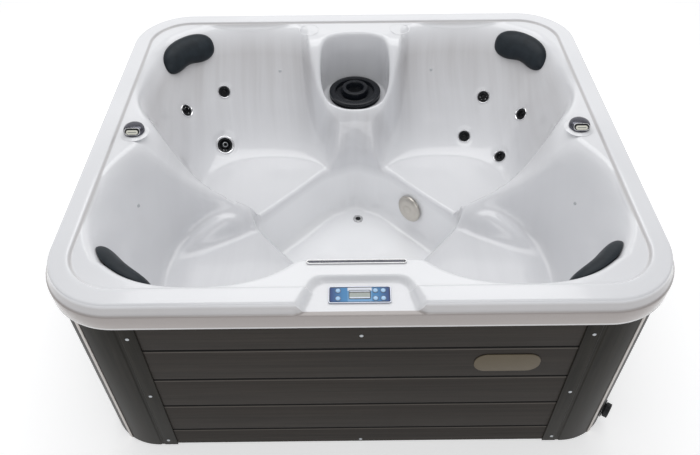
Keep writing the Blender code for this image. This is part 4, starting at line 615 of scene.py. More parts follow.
def foot_lip(x, y):
    front = np.clip((-y - FRONT_LIP_FROM) / (FRONT_LIP_FULL - FRONT_LIP_FROM), 0.0, 1.0)
    return FOOT_LIP + FRONT_LIP_EXTRA * front + (COLUMN_LIP - FOOT_LIP) * column_share(x, y)


def foot_toe(x, y):
    return FOOT_TOE + (COLUMN_TOE - FOOT_TOE) * column_share(x, y)


def well_depth(side, y):
    """Distance inside the filter well's top edge."""
    across = (side / WELL_OVAL.half_x) ** WELL_POWER
    along = np.abs((y - WELL_OVAL.y) / WELL_OVAL.half_y) ** WELL_POWER
    return (1.0 - (across + along) ** (1.0 / WELL_POWER)) * WELL_OVAL.half_x


def gathered(x, y):
    """Move grid points near the filter well's wall so that more of them lie on it."""
    step = GAP
    depth = well_depth(np.abs(x), y)
    slope_x = (well_depth(np.abs(x + step), y) - well_depth(np.abs(x - step), y)) / (2 * step)
    slope_y = (well_depth(np.abs(x), y + step) - well_depth(np.abs(x), y - step)) / (2 * step)
    steep = np.maximum(slope_x ** 2 + slope_y ** 2, TINY)
    middle = (WELL_LIP + WELL_TOE + (DECK_Z - WELL_Z) * WELL_DRAFT) / 2
    share = np.clip((depth - middle) / WELL_GATHER, -1.0, 1.0)
    wanted = middle + WELL_GATHER * np.sign(share) * np.abs(share) ** WELL_GATHER_POWER
    move = np.where(np.abs(share) < 1.0, wanted - depth, 0.0) / steep
    return x + move * slope_x, y + move * slope_y


def notch_depth(side, y):
    """Distance inside the control notch, which stays open to the front."""
    splay = (NOTCH_FRONT_HALF - NOTCH_BACK_HALF) / (NOTCH_BACK_Y - NOTCH_FRONT_Y)
    flank = (NOTCH_BACK_HALF + (NOTCH_BACK_Y - y) * splay - side) / math.hypot(1.0, splay)
    return soft_min(flank, NOTCH_BACK_Y - y, NOTCH_CORNER_SOFT)


def notch_floor(y):
    return NOTCH_Z + (y - NOTCH_BACK_Y) * NOTCH_FALL


def notched(x, y, top):
    floor = notch_floor(y)
    cut = wall_drop(notch_depth(np.abs(x), y), top, floor, NOTCH_LIP, NOTCH_TOE, NOTCH_DRAFT)
    return np.where(top > floor, cut, top)


def formed_height(side, y):
    """Height of the seats, armrests, column and decks, before the wells are sunk."""
    seats = soft_min(rear_seat_height(side, y), front_seat_height(side, y), EDGE_SOFT)
    body = soft_min(seats, saddle_height(side, y), SADDLE_CREST_SOFT)
    body = soft_max(body, column_height(side, y), COLUMN_SOFT)
    return soft_min(body, np.full_like(side, DECK_Z), EDGE_SOFT)


def mould_height(x, y):
    """Height of the shell's upper face inside the raised border, its bends eased."""
    side = np.abs(x)
    spots = circle_points(SHEET_SOFT, SHEET_SAMPLES)
    body = sum(formed_height(np.abs(x + dx), y + dy) for dx, dy in spots) / SHEET_SAMPLES
    body = wall_drop(well_depth(side, y), body, WELL_Z, WELL_LIP, WELL_TOE, WELL_DRAFT)
    body = wall_drop(foot_depth(x, y), body, FOOT_Z, foot_lip(x, y), foot_toe(x, y), FOOT_DRAFT)
    return notched(x, y, body)


def mould_point(x, y):
    """The point of the shell's upper face at a place in plan, and the face's normal."""
    step = GAP
    spots_x = np.array([x, x + step, x - step, x, x])
    spots_y = np.array([y, y, y, y + step, y - step])
    heights = mould_height(spots_x, spots_y)
    slope_x = (heights[1] - heights[2]) / (2 * step)
    slope_y = (heights[3] - heights[4]) / (2 * step)
    return Vector((x, y, heights[0])), Vector((-slope_x, -slope_y, 1.0)).normalized()


def circle_points(radius, steps):
    return [(radius * math.cos(math.tau * step / steps),
             radius * math.sin(math.tau * step / steps)) for step in range(steps)]


def rounded_rectangle(half_x, half_y, radius, steps):
    """Corner points of a rectangle with round corners, anticlockwise from the right side."""
    points = []
    for quarter, (sign_x, sign_y) in enumerate(((1, 1), (-1, 1), (-1, -1), (1, -1))):
        for step in range(steps + 1):
            turn = math.pi / 2 * (quarter + step / steps)
            points.append((sign_x * (half_x - radius) + radius * math.cos(turn),
                           sign_y * (half_y - radius) + radius * math.sin(turn)))
    return points


def long_oval(half_x, half_y):
    """Corner points of a bar with fully round ends."""
    return rounded_rectangle(half_x, half_y, half_y - TINY, 12)


def rim_outline(shares, inset):
    """Plan outline of the rim, moved inwards by an inset, read at shares of its length."""
    radius = max(RIM_CORNER - inset, TINY)
    points = rounded_rectangle(HALF_LENGTH - inset, HALF_WIDTH - inset, radius, RIM_STEPS)
    ring = np.array(points + points[:1])
    lengths = np.hypot(*np.diff(ring, axis=0).T)
    travelled = np.concatenate(([0.0], np.cumsum(lengths)))
    wanted = shares * travelled[-1]
    return np.interp(wanted, travelled, ring[:, 0]), np.interp(wanted, travelled, ring[:, 1])


def foot_ring(direction_x, direction_y, depth):
    """Plan ring where the footwell is the given depth inside its edge, along each spoke."""
    low = np.zeros_like(direction_x)
    high = np.full_like(direction_x, HALF_LENGTH)
    for _ in range(RING_HALVINGS):
        middle = (low + high) / 2
        inside = foot_depth(direction_x * middle, FOOT_CENTRE_Y + direction_y * middle) > depth
        low = np.where(inside, middle, low)
        high = np.where(inside, high, middle)
    return direction_x * low, FOOT_CENTRE_Y + direction_y * low


def spoke_shares():
    """Shares of the rim's length for the spokes, crowded behind the well and at the notch."""
    fine = np.linspace(0.0, 1.0, RIM_SAMPLES)
    x, y = rim_outline(fine, 0.0)
    angle = np.arctan2(y - FOOT_CENTRE_Y, x)
    back = np.exp(-((angle - math.pi / 2) / CROWD_BACK_WIDTH) ** 2)
    front = np.exp(-((angle + math.pi / 2) / CROWD_FRONT_WIDTH) ** 2)
    weight = 1.0 + CROWD_BACK * back + CROWD_FRONT * front
    total = np.concatenate(([0.0], np.cumsum((weight[1:] + weight[:-1]) / 2)))
    return np.interp(np.linspace(0.0, total[-1], SHELL_SPOKES + 1), total, fine)


def lip_profile():
    """Inset and height of the rolled lip's rings, from the deck out, down and under."""
    middle_z = TUB_HEIGHT - LIP_BAND
    bottom_z = TUB_HEIGHT - LIP_DROP
    rings = []
    for share in SLOPE_RINGS:
        climb = share * share * (3.0 - 2.0 * share)
        rings.append((BORDER_WIDTH + BORDER_SLOPE * (1.0 - share), DECK_Z + BORDER_STEP * climb))
    rings += [(BORDER_WIDTH * share, TUB_HEIGHT) for share in BORDER_RINGS]
    for step in range(LIP_TURNS + 1):
        turn = math.pi / 2 * step / LIP_TURNS
        rings.append((LIP_ROUND - LIP_ROUND * math.sin(turn),
                      TUB_HEIGHT - LIP_ROUND + LIP_ROUND * math.cos(turn)))
    band = LIP_BAND - LIP_ROUND
    for share in FLARE_RINGS:
        rings.append((-LIP_FLARE * share, TUB_HEIGHT - LIP_ROUND - band * share))
    half_z = (middle_z + bottom_z) / 2
    inner = SHELL_THICK - LIP_PROUD
    rings += [(-LIP_FLARE - 0.3 * (LIP_PROUD - LIP_FLARE), middle_z - LIP_STEP),
              (LIP_EASE - LIP_PROUD, middle_z - 3 * LIP_STEP),
              (-LIP_PROUD, middle_z - 6 * LIP_STEP), (-LIP_PROUD, half_z),
              (-LIP_PROUD, bottom_z + 3 * LIP_EASE), (LIP_EASE - LIP_PROUD, bottom_z + LIP_EASE),
              (3 * LIP_EASE - LIP_PROUD, bottom_z), (inner, bottom_z), (inner, half_z)]
    return rings


def shell_rings():
    """Every ring of the shell's upper face, from its middle out, as rows of x, y and z."""
    shares = spoke_shares()
    edge_x, edge_y = rim_outline(shares, BORDER_WIDTH + BORDER_SLOPE)
    reach = np.hypot(edge_x, edge_y - FOOT_CENTRE_Y)
    spoke_x = edge_x / reach
    spoke_y = (edge_y - FOOT_CENTRE_Y) / reach
    lip_x, lip_y = foot_ring(spoke_x, spoke_y, 0.0)
    wall = (REAR_SEAT_Z - FOOT_Z) * FOOT_DRAFT + foot_lip(lip_x, lip_y) + foot_toe(lip_x, lip_y)
    plan = []
    toe_x, toe_y = foot_ring(spoke_x, spoke_y, wall)
    for ring in range(FLOOR_RINGS):
        share = ring / FLOOR_RINGS
        plan.append((toe_x * share, FOOT_CENTRE_Y + (toe_y - FOOT_CENTRE_Y) * share))
    for ring in range(WALL_RINGS):
        plan.append(foot_ring(spoke_x, spoke_y, wall * (1.0 - ring / WALL_RINGS)))
    for ring in range(SEAT_RINGS):
        share = ring / SEAT_RINGS
        plan.append(gathered(lip_x + (edge_x - lip_x) * share, lip_y + (edge_y - lip_y) * share))
    rows = [np.stack((x, y, mould_height(x, y)), axis=1) for x, y in plan]
    for inset, height in lip_profile():
        x, y = rim_outline(shares, inset)
        rows.append(np.stack((x, y, notched(x, y, np.full_like(x, height))), axis=1))
    return pressed(np.array(rows))


def pressed(points):
    """Points of the shell with a flat seat under each jet and a shallow dish round it."""
    for (x, y), jet in JETS:
        spot, normal = (np.array(vector) for vector in mould_point(x, y))
        away = points - spot
        height = away @ normal
        radius = np.sqrt(np.maximum((away ** 2).sum(axis=-1) - height ** 2, 0.0))
        rim = jet.face * JET_HOLLOW
        share = np.clip((rim - radius) / (rim - jet.face - JET_REST), 0.0, 1.0)
        share = share * share * (3.0 - 2.0 * share) * (np.abs(height) < jet.face)
        points = points - ((height + jet.seat) * share)[..., None] * normal
    return points


def suction_spot():
    """The suction fitting's place on the footwell's rear right wall, and the wall's normal."""
    run = Vector((FOOT_SIDE, FOOT_SIDE_Y - FOOT_BACK, 0.0)).normalized()
    inward = Vector((run.y, -run.x, 0.0))
    lean = math.atan(FOOT_DRAFT)
    start = Vector((0.0, FOOT_BACK, SUCTION_Z)) + run * SUCTION_ALONG
    low = 0.0
    high = FOOT_LIP + FOOT_TOE + FOOT_Z * FOOT_DRAFT
    for _ in range(SPOT_HALVINGS):
        depth = (low + high) / 2
        spot = start + inward * depth
        above = mould_height(np.array([spot.x]), np.array([spot.y]))[0] > SUCTION_Z
        low = depth if above else low
        high = high if above else depth
    normal = (inward * math.cos(lean) + Vector((0.0, 0.0, math.sin(lean)))).normalized()
    return spot, normal


class Signal:
    """A socket of a node tree, on which sums and products add Math nodes."""

    def __init__(self, tree, socket):
        self.tree = tree
        self.socket = socket

    def out(self, name):
        """Another output of the same node."""
        return Signal(self.tree, self.socket.node.outputs[name])

    def maths(self, operation, *values):
        return self.tree.node("ShaderNodeMath", {"operation": operation}, dict(enumerate(values)))

    def __add__(self, other):
        return self.maths("ADD", self, other)

    __radd__ = __add__

    def __sub__(self, other):
        return self.maths("SUBTRACT", self, other)

    def __rsub__(self, other):
        return self.maths("SUBTRACT", other, self)

    def __mul__(self, other):
        return self.maths("MULTIPLY", self, other)

    __rmul__ = __mul__

    def __truediv__(self, other):
        return self.maths("DIVIDE", self, other)

    def __lt__(self, other):
        return self.maths("LESS_THAN", self, other)

    def power(self, other):
        return self.maths("POWER", self, other)

    def above(self, floor):
        return self.maths("MAXIMUM", self, floor)

    def absolute(self):
        return self.maths("ABSOLUTE", self)

    def clamp(self):
        return self.tree.node("ShaderNodeClamp", {}, {"Value": self})


class Tree:
    """A node tree under construction: one method adds any node and links its inputs."""

    def __init__(self, tree):
        self.tree = tree

    def node(self, kind, settings=None, inputs=None):
        made = self.tree.nodes.new(kind)
        for key, value in (settings or {}).items():
            if key == "stops":
                self.set_stops(made.color_ramp, value)
            else:
                setattr(made, key, value)
        for key, value in (inputs or {}).items():
            self.feed(made.inputs[key], value)
        shown = [socket for socket in made.outputs if socket.enabled]
        return Signal(self, shown[0]) if shown else made

    def feed(self, socket, value):
        if isinstance(value, Signal):
            self.tree.links.new(value.socket, socket)
        elif socket.type == "RGBA":
            socket.default_value = (*value, 1.0)
        else:
            socket.default_value = value

    def vector(self, x=0.0, y=0.0, z=0.0):
        return self.node("ShaderNodeCombineXYZ", {}, {0: x, 1: y, 2: z})

    def set_stops(self, ramp, stops):
        for place, colour in stops[2:]:
            ramp.elements.new(place).color = colour
        for element, (place, colour) in zip(ramp.elements, stops):
            element.position = place
            element.color = colour


LOOKS = {}


class Look(Tree):
    """A procedural material, kept among the looks by its name."""

    def __init__(self, name):
        self.material = bpy.data.materials.new(name)
        self.material.use_nodes = True
        super().__init__(self.material.node_tree)
        self.tree.nodes.clear()
        LOOKS[name] = self.material
        self.place = self.node("ShaderNodeTexCoord").out("Object")

    def stretch(self, vector, scale):
        return self.node("ShaderNodeVectorMath", {"operation": "MULTIPLY"}, {0: vector, 1: scale})

    def noise(self, vector, scale, detail=3.0, roughness=0.5, distortion=0.0):
        """A noise that is about 0 to 1."""
        made = self.node("ShaderNodeTexNoise", {}, {
            "Vector": vector, "Scale": scale, "Detail": detail, "Roughness": roughness,
            "Distortion": distortion})
        return made.out("Fac")

    def ramp(self, value, low, high):
        """A value spread so that low becomes 0 and high becomes 1."""
        return self.node("ShaderNodeMapRange", {"clamp": True}, {
            "Value": value, "From Min": low, "From Max": high})

    def mix(self, share, first, second, way="MIX"):
        """A blend of two colours by a share."""
        made = self.tree.nodes.new("ShaderNodeMix")
        made.data_type = "RGBA"
        made.blend_type = way
        self.feed(made.inputs[0], share)
        self.feed(made.inputs[6], first)
        self.feed(made.inputs[7], second)
        return Signal(self, made.outputs[2])

    def bump(self, height, distance, strength):
        return self.node("ShaderNodeBump", {}, {
            "Height": height, "Distance": distance, "Strength": strength})

    def axes(self):
        """The three coordinates of the place on the piece."""
        split = self.node("ShaderNodeSeparateXYZ", {}, {0: self.place})
        return split.out("X"), split.out("Y"), split.out("Z")

    def finish(self, **sockets):
        shader = self.node("ShaderNodeBsdfPrincipled")
        node = shader.socket.node
        for key, value in sockets.items():
            self.feed(node.inputs[key.replace("_", " ").title().replace("Ior", "IOR")], value)
        self.node("ShaderNodeOutputMaterial", {}, {"Surface": shader})
        return self.material


def scaled(colour, share):
    return tuple(channel * share for channel in colour)


def acrylic_look(colours):
    """Glossy pearl acrylic: faint clouds, soft streaks down the rear walls and a warmer skirt
    whose tone is painted shade; painted shade down the walls, on the column and along the border
    step, painted light in the footwell and the filter well, and a painted highlight at the lip's
    hem.
    """
    look = Look("pearl_acrylic")
    x, y, z = look.axes()
    cloud = look.noise(look.place, 2.4, 1.0, 0.4, 0.4)
    bend = look.noise(look.place, 2.0, 1.0)
    along = x + bend * 0.10
    streak = look.noise(look.vector(along * 12.0, y * 1.1, z * 0.8), 1.0, 3.0, 0.5)
    fine = look.noise(look.vector(along * 40.0, y * 2.2, z * 1.6), 1.0, 2.0, 0.5)
    marble = look.ramp(cloud, 0.36, 0.66)
    lines = look.ramp(streak * 0.65 + fine * 0.35, 0.40, 0.66)
    # Painted shade: the walls below the deck are greyed
    walls = look.ramp(z, *WALL_SHADE_Z)
    pans = look.ramp(z, *PAN_SHADE_Z)
    front = look.ramp(y, *FRONT_SHADE_Y)
    side = x.absolute()
    # Painted shade on the column's front; the well's share takes the painted shade back out of the
    # filter well as painted light
    column = look.ramp(side, *COLUMN_SHADE_X) * look.ramp(y, *COLUMN_SHADE_Y)
    well = look.ramp(side, *WELL_LIGHT_X) * look.ramp(y, *WELL_LIGHT_Y)
    # Shares of the painted wall shade: less on the rear pans and the front walls, more on the
    # front pans
    seen = 1.0 - pans * (1.0 - front) * 0.70 - front * (1.0 - pans) * 0.34 + front * pans * 0.22
    # Marble clouds, plus on the walls their streaks and the painted shade of the walls and the
    # column
    tone = marble * 0.14 + (lines * 0.16 + 0.36 + column * 0.22 - well * 0.30) * walls * seen
    base = look.mix(tone.clamp(), colours.acrylic_light, colours.acrylic_grey_and_shade)
    backs = look.ramp(z, *BACK_TONE_Z) * walls * look.ramp(y, *BACK_TONE_Y)
    tops = look.ramp(z, *TOP_TONE_Z) * look.ramp(y, *TOP_TONE_Y) * 0.40
    warm = (lines * 0.30 + 0.16 + tops) * (1.0 - well)
    base = look.mix(backs * warm, base, colours.acrylic_warm_and_shade)
    # Painted light: the footwell below the seats takes a brighter tone
    base = look.mix(look.ramp(z, *FOOT_LIGHT_Z), base, colours.footwell_painted_light)
    reach_x = (side - (HALF_LENGTH - RIM_CORNER)).above(0.0)
    reach_y = (y.absolute() - (HALF_WIDTH - RIM_CORNER)).above(0.0)
    inset = RIM_CORNER - (reach_x * reach_x + reach_y * reach_y).power(0.5)
    # Painted shade: a thin warm line along the border's step, fading out at the front
    groove_shade = look.ramp((inset - BORDER_WIDTH - BORDER_SLOPE * 0.7).absolute(), *BORDER_SHADE_LINE)
    groove_shade = groove_shade * look.ramp(y, *BORDER_SHADE_LINE_Y)
    base = look.mix(groove_shade * 0.75, base, colours.acrylic_warm_and_shade)
    outside = inset < 0.0
    base = look.mix(outside * lines * 0.12, base, colours.acrylic_grey_and_shade)
    # Painted shade, warm-tinted, over the lip's rounded edge and down its outer face
    skirt = look.ramp(z, *LIP_SHADE_Z) * 0.45 + look.ramp(z, *SKIRT_SHADE_Z) * 0.55
    base = look.mix(outside * skirt, base, colours.skirt)
    # Painted highlight: a thin light band at the lip's foot
    base = look.mix(outside * look.ramp(z, *HEM_HIGHLIGHT_Z) * 0.6, base, colours.acrylic_light)
    pearl = look.noise(look.place, 900.0, 1.0, 0.5)
    base = look.mix(look.ramp(pearl, 0.60, 0.80) * 0.10, base, PEARL_FLECK)
    rough = 0.16 + marble * 0.03
    return look.finish(base_color=base, roughness=rough, coat_weight=0.45, coat_roughness=0.06,
                       ior=1.49)


def board_look(colours):
    """Brushed wood-grain boards, each board a little apart in tone, with painted shade in the
    grooves and a painted highlight along each board's upper edge.
    """
    look = Look("brown_grey_boards")
    x, y, z = look.axes()
    along = x + y
    rise = (z - TOP_BOARD_Z + 10 * BOARD_PITCH) / BOARD_PITCH
    board = rise.maths("FLOOR", rise)
    grain = look.noise(look.vector(along * 1.1, z * 46.0, board * 3.7), 1.6, 6.0, 0.62, 0.5)
    thin = look.noise(look.vector(along * 5.0, z * 420.0, board), 1.0, 3.0, 0.6)
    shade = look.ramp(grain * 0.7 + thin * 0.3, 0.34, 0.66)
    base = look.mix(shade, colours.board_dark, colours.board_light)
    drift = look.noise(look.place, 1.3, 1.0)
    base = look.mix(look.ramp(drift, 0.35, 0.65) * 0.35, base, colours.board_dark)
    share = rise.maths("FRACT", rise)
    width = GROOVE_WIDTH / BOARD_PITCH
    # Painted shade in the grooves between the boards
    groove_shade = look.ramp((share - 0.5).absolute(), 0.5 - width, 0.5 - width * 0.4)
    base = look.mix(groove_shade, base, GROOVE_SHADE)
    # Painted highlight along each board's eased upper edge, under the grooves
    away = (share - (1.0 - BOARD_LINE / BOARD_PITCH)).absolute()
    edge = look.ramp(away, *(fade / BOARD_PITCH for fade in BOARD_LINE_FADE))
    base = look.mix(edge * 0.55, base, BOARD_EDGE_HIGHLIGHT)
    rough = 0.46 + thin * 0.16
    normal = look.bump(grain * 0.4 + thin * 0.6, BOARD_GRAIN, 0.7)
    return look.finish(base_color=base, roughness=rough, normal=normal, specular_ior_level=0.22)


def cover_look(colours):
    """Dark corner covers with a faint grain along their height."""
    look = Look("dark_corner_cover")
    grain = look.noise(look.stretch(look.place, (60.0, 60.0, 4.0)), 1.0, 4.0, 0.6)
    patch = look.noise(look.place, 3.0, 2.0)
    base = look.mix(look.ramp(grain, 0.35, 0.68), colours.cover, colours.cover_light)
    base = look.mix(look.ramp(patch, 0.40, 0.70) * 0.30, base, colours.cover_light)
    normal = look.bump(grain, COVER_GRAIN, 0.5)
    return look.finish(base_color=base, roughness=0.36 + grain * 0.14, normal=normal,
                       specular_ior_level=0.14)


def metal_look(name, colour, roughness, streaks):
    """Metal with the fine marks of polishing or drawing."""
    look = Look(name)
    marks = look.noise(look.place, 420.0, 3.0, 0.6)
    smear = look.noise(look.place, 30.0, 2.0)
    base = look.mix(look.ramp(smear, 0.40, 0.70) * 0.22, colour, scaled(colour, 0.80))
    return look.finish(base_color=base, metallic=1.0, roughness=roughness + marks * streaks,
                       normal=look.bump(marks, METAL_MARKS, 0.4))


def plastic_look(name, colour, roughness, drift, shine):
    """Moulded plastic with a fine texture and slightly uneven colour."""
    look = Look(name)
    skin = look.noise(look.place, 900.0, 2.0, 0.6)
    patch = look.noise(look.place, 14.0, 3.0)
    worn = tuple(min(1.0, channel * 1.35 + 0.004) for channel in colour)
    base = look.mix(look.ramp(patch, 0.38, 0.72) * drift * 2.0, colour, worn)
    return look.finish(base_color=base, roughness=roughness + skin * 0.10,
                       normal=look.bump(skin, PLASTIC_SKIN, 0.5), specular_ior_level=shine)


def pillow_look(colours):
    """Slate foam with a smooth skin, faintly mottled and lighter where it is rubbed."""
    look = Look("slate_pillow")
    mottle = look.noise(look.place, 24.0, 4.0, 0.6)
    skin = look.noise(look.place, 700.0, 2.0, 0.6)
    wrinkle = look.noise(look.stretch(look.place, (1.0, 1.0, 2.4)), 34.0, 3.0, 0.5, 0.8)
    rubbed = scaled(colours.pillow, 1.5)
    base = look.mix(look.ramp(mottle, 0.36, 0.68), colours.pillow, rubbed)
    rough = 0.34 + skin * 0.14 + mottle * 0.08
    normal = look.bump(skin * 0.25 + wrinkle * 0.75, PILLOW_SKIN, 0.5)
    return look.finish(base_color=base, roughness=rough, normal=normal, specular_ior_level=0.22)


def label_look(colours):
    """The control panel's printed face: pale in the middle, deepening towards its ends."""
    look = Look("blue_label")
    x, y = look.axes()[:2]
    side = (x - PANEL_X).absolute()
    ends = look.ramp(side, PANEL_LENGTH * 0.26, PANEL_LENGTH * 0.47)
    middle = look.ramp(side, WINDOW_LENGTH * 0.62, WINDOW_LENGTH * 0.55)
    head = look.ramp(y, PANEL_Y + WINDOW_WIDTH * 0.42, PANEL_Y + WINDOW_WIDTH * 0.52)
    base = look.mix(ends, colours.label_pale, colours.label_deep)
    base = look.mix(middle * 0.7, base, colours.label_sky)
    base = look.mix(middle * head, base, LABEL_HEAD)
    grain = look.noise(look.place, 1500.0, 1.0)
    return look.finish(base_color=base, roughness=0.26 + grain * 0.06, specular_ior_level=0.25)


def display_look():
    """The grey display in its pale frame, with a dark head and faint unlit segments."""
    look = Look("display_window")
    x, y = look.axes()[:2]
    column = x.maths("FRACT", (x - PANEL_X) * 260.0)
    bars = look.ramp((column - 0.5).absolute(), 0.30, 0.36)
    inside = look.ramp((y - PANEL_Y).absolute(), WINDOW_WIDTH * 0.36, WINDOW_WIDTH * 0.33)
    head = look.ramp(y, PANEL_Y + WINDOW_WIDTH * 0.16, PANEL_Y + WINDOW_WIDTH * 0.22)
    grey = look.mix(bars * 0.14, DISPLAY_GREY, DISPLAY_BARS)
    grey = look.mix(head, grey, DISPLAY_HEAD)
    base = look.mix(inside, DISPLAY_FRAME, grey)
    haze = look.noise(look.place, 60.0, 2.0)
    return look.finish(base_color=base, roughness=0.14 + haze * 0.04, coat_weight=0.5,
                       coat_roughness=0.05)


def paper_look():
    """Pleated filter paper."""
    look = Look("filter_paper")
    fibre = look.noise(look.stretch(look.place, (1.0, 1.0, 0.3)), 320.0, 4.0, 0.65)
    base = look.mix(look.ramp(fibre, 0.35, 0.65), PAPER_SHADE, PAPER_LIGHT)
    return look.finish(base_color=base, roughness=0.85, normal=look.bump(fibre, PAPER_PLEATS, 0.6))


def lens_look():
    """Tinted moulded lens of an air dot."""
    look = Look("air_dot_lens")
    haze = look.noise(look.place, 200.0, 2.0)
    base = look.mix(look.ramp(haze, 0.40, 0.65), LENS_TINT, scaled(LENS_TINT, 0.8))
    return look.finish(base_color=base, roughness=0.12 + haze * 0.05, coat_weight=0.6)


def floor_look():
    """The pale floor, which glows a little, as a lit backdrop does."""
    look = Look("pale_floor")
    patch = look.noise(look.place, 1.2, 2.0)
    base = look.mix(patch * 0.04, FLOOR_GREY, scaled(FLOOR_GREY, 0.94))
    return look.finish(base_color=base, roughness=0.85, emission_color=(1.0, 1.0, 1.0),
                       emission_strength=FLOOR_GLOW)


# Name, colour, roughness, unevenness of colour and shine
PLASTICS = (
    ("light_trim", (0.50, 0.46, 0.43), 0.30, 0.08, 0.5),
    ("black_plastic", (0.006, 0.0065, 0.008), 0.24, 0.16, 0.28),
    ("lid_plastic", (0.0065, 0.008, 0.0115), 0.22, 0.16, 0.34),
    ("black_tray", (0.020, 0.020, 0.021), 0.50, 0.16, 0.5),
    ("cream_bar", (0.72, 0.71, 0.62), 0.22, 0.05, 0.5),
    ("white_plastic", (0.74, 0.74, 0.73), 0.24, 0.05, 0.5),
    ("motor_paint", (0.040, 0.050, 0.065), 0.40, 0.16, 0.5),
    ("oval_plate", (0.102, 0.080, 0.048), 0.30, 0.05, 0.3),
)

# Name, colour, roughness and strength of the marks
METALS = (
    ("jet_ring_metal", (0.86, 0.86, 0.87), 0.12, 0.04),
    ("bezel_metal", (0.44, 0.46, 0.52), 0.16, 0.04),
    ("waterfall_metal", (0.66, 0.66, 0.66), 0.14, 0.04),
    ("galvanised_steel", (0.52, 0.54, 0.56), 0.40, 0.15),
    ("dark_chrome", (0.115, 0.115, 0.135), 0.14, 0.06),
    ("pale_chrome", (0.88, 0.88, 0.89), 0.14, 0.04),
    ("satin_nickel", (0.60, 0.57, 0.52), 0.26, 0.10),
)


def make_looks(colours):
    """Every material of the pieces."""
    for make in (acrylic_look, board_look, cover_look, pillow_look, label_look):
        make(colours)
    display_look()
    paper_look()
    lens_look()
    plastic_look("blue_button", colours.button, 0.10, 0.10, 0.5)
    for row in PLASTICS:
        plastic_look(*row)
    for row in METALS:
        metal_look(*row)


NODE_LOOKS = {
    "base_tray": "black_tray", "steel_frame": "galvanised_steel",
    "filter_canister": "black_plastic", "filter_cartridge": "filter_paper",
    "suction_body": "black_plastic", "pump_motor": "motor_paint",
    "pump_wet_end": "black_plastic", "heater": "galvanised_steel",
    "control_box": "white_plastic", "jet_body": "white_plastic", "corner_trim": "light_trim",
}


def dress_nodes():
    """Give the carried-over solids their materials."""
    for name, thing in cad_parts.items():
        for start, look in NODE_LOOKS.items():
            if name.startswith(start):
                thing.data.materials.clear()
                thing.data.materials.append(LOOKS[look])


def grid_faces(rings, steps):
    """Quads between closed rings of points that run one after another."""
    faces = []
    for start in range(0, (rings - 1) * steps, steps):
        for step in range(steps):
            beside = (step + 1) % steps
            faces.append((start + step, start + beside, start + steps + beside,
                          start + steps + step))
    return faces


def turned(profile, radius, low=0.0, tall=1.0):
    """Radii and heights of a profile whose radii are shares, standing on a height."""
    return [(radius * share, low + tall * rise) for share, rise in profile]


def lathe(profile, steps, closed=True):
    """Points and faces of a shape turned about Z from (radius, height) points."""
    points = [(x, y, height) for radius, height in profile
              for x, y in circle_points(max(radius, 0.0), steps)]
    faces = grid_faces(len(profile), steps)
    if closed:
        last = (len(profile) - 1) * steps
        for step in range(steps):
            beside = (step + 1) % steps
            faces.append((last + step, last + beside, beside, step))
    return points, faces


def slab(outline, low, high, hole=None):
    """Points and faces of a plate from a plan outline, with a hole of as many points."""
    count = len(outline)
    points = [(x, y, z) for z in (low, high) for x, y in outline]
    faces = [(step, (step + 1) % count, count + (step + 1) % count, count + step)
             for step in range(count)]
    if hole is None:
        faces += [tuple(reversed(range(count))), tuple(range(count, 2 * count))]
        return points, faces
    points += [(x, y, z) for z in (low, high) for x, y in hole]
    for step in range(count):
        beside = (step + 1) % count
        faces += [(2 * count + beside, 2 * count + step, 3 * count + step, 3 * count + beside),
                  (beside, step, 2 * count + step, 2 * count + beside),
                  (count + step, count + beside, 3 * count + beside, 3 * count + step)]
    return points, faces


def moved(shape, matrix):
    points, faces = shape
    return [tuple(matrix @ Vector(point)) for point in points], faces


def stood(place, normal=(0.0, 0.0, 1.0)):
    """The placing that stands a shape at a place with its Z along a normal."""
    turn = Vector(normal).to_track_quat("Z", "Y")
    return Matrix.Translation(place) @ turn.to_matrix().to_4x4()


def on_panel(x=0.0, y=0.0, z=0.0):
    """The placing of a piece on the control panel, at a shift along its own directions."""
    normal = Vector((0.0, -NOTCH_FALL, 1.0)).normalized()
    turn = Vector((0.0, 0.0, 1.0)).rotation_difference(normal).to_matrix().to_4x4()
    place = Matrix.Translation((PANEL_X, PANEL_Y, notch_floor(PANEL_Y)))
    return place @ turn @ Matrix.Translation((x, y, z))


@contextmanager
def opened(mesh):
    """A mesh opened for editing and written back."""
    shape = bmesh.new()
    shape.from_mesh(mesh)
    yield shape
    shape.to_mesh(mesh)
    shape.free()


def merge_seams(shape):
    bmesh.ops.remove_doubles(shape, verts=shape.verts, dist=TINY)
    bmesh.ops.dissolve_degenerate(shape, edges=shape.edges, dist=TINY)


def smooth(mesh, angle):
    mesh.shade_smooth()
    mesh.set_sharp_from_angle(angle=math.radians(angle))


def settled(thing):
    """Turn a piece's modifiers into plain mesh."""
    bpy.context.view_layer.update()
    seen = thing.evaluated_get(bpy.context.evaluated_depsgraph_get())
    thing.data = bpy.data.meshes.new_from_object(seen)
    thing.data.name = thing.name
    thing.modifiers.clear()
    return thing


def mesh_thing(name, points, faces, material=None):
    """A mesh object in the scene."""
    mesh = bpy.data.meshes.new(name)
    mesh.from_pydata(points, [], faces)
    if material:
        mesh.materials.append(material)
    thing = bpy.data.objects.new(name, mesh)
    bpy.context.scene.collection.objects.link(thing)
    return thing


def rounded(thing, levels):
    """Round a piece by subdividing it."""
    soft = thing.modifiers.new("Round", "SUBSURF")
    soft.levels = levels
    soft.render_levels = levels
    return settled(thing)


def eased(thing, width):
    """Round off a piece's sharp edges."""
    edge = thing.modifiers.new("Edges", "BEVEL")
    edge.width = width
    edge.segments = 3
    edge.limit_method = "ANGLE"
    edge.angle_limit = math.radians(PIECE_ANGLE)
    return settled(thing)


def fit(thing, body, slot, *nodes):
    """Tie a piece to its body and hide the nodes it stands for; the finish it is given is not
    used.
    """
    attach(thing, body)
    if nodes:
        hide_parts(*nodes)
    return thing


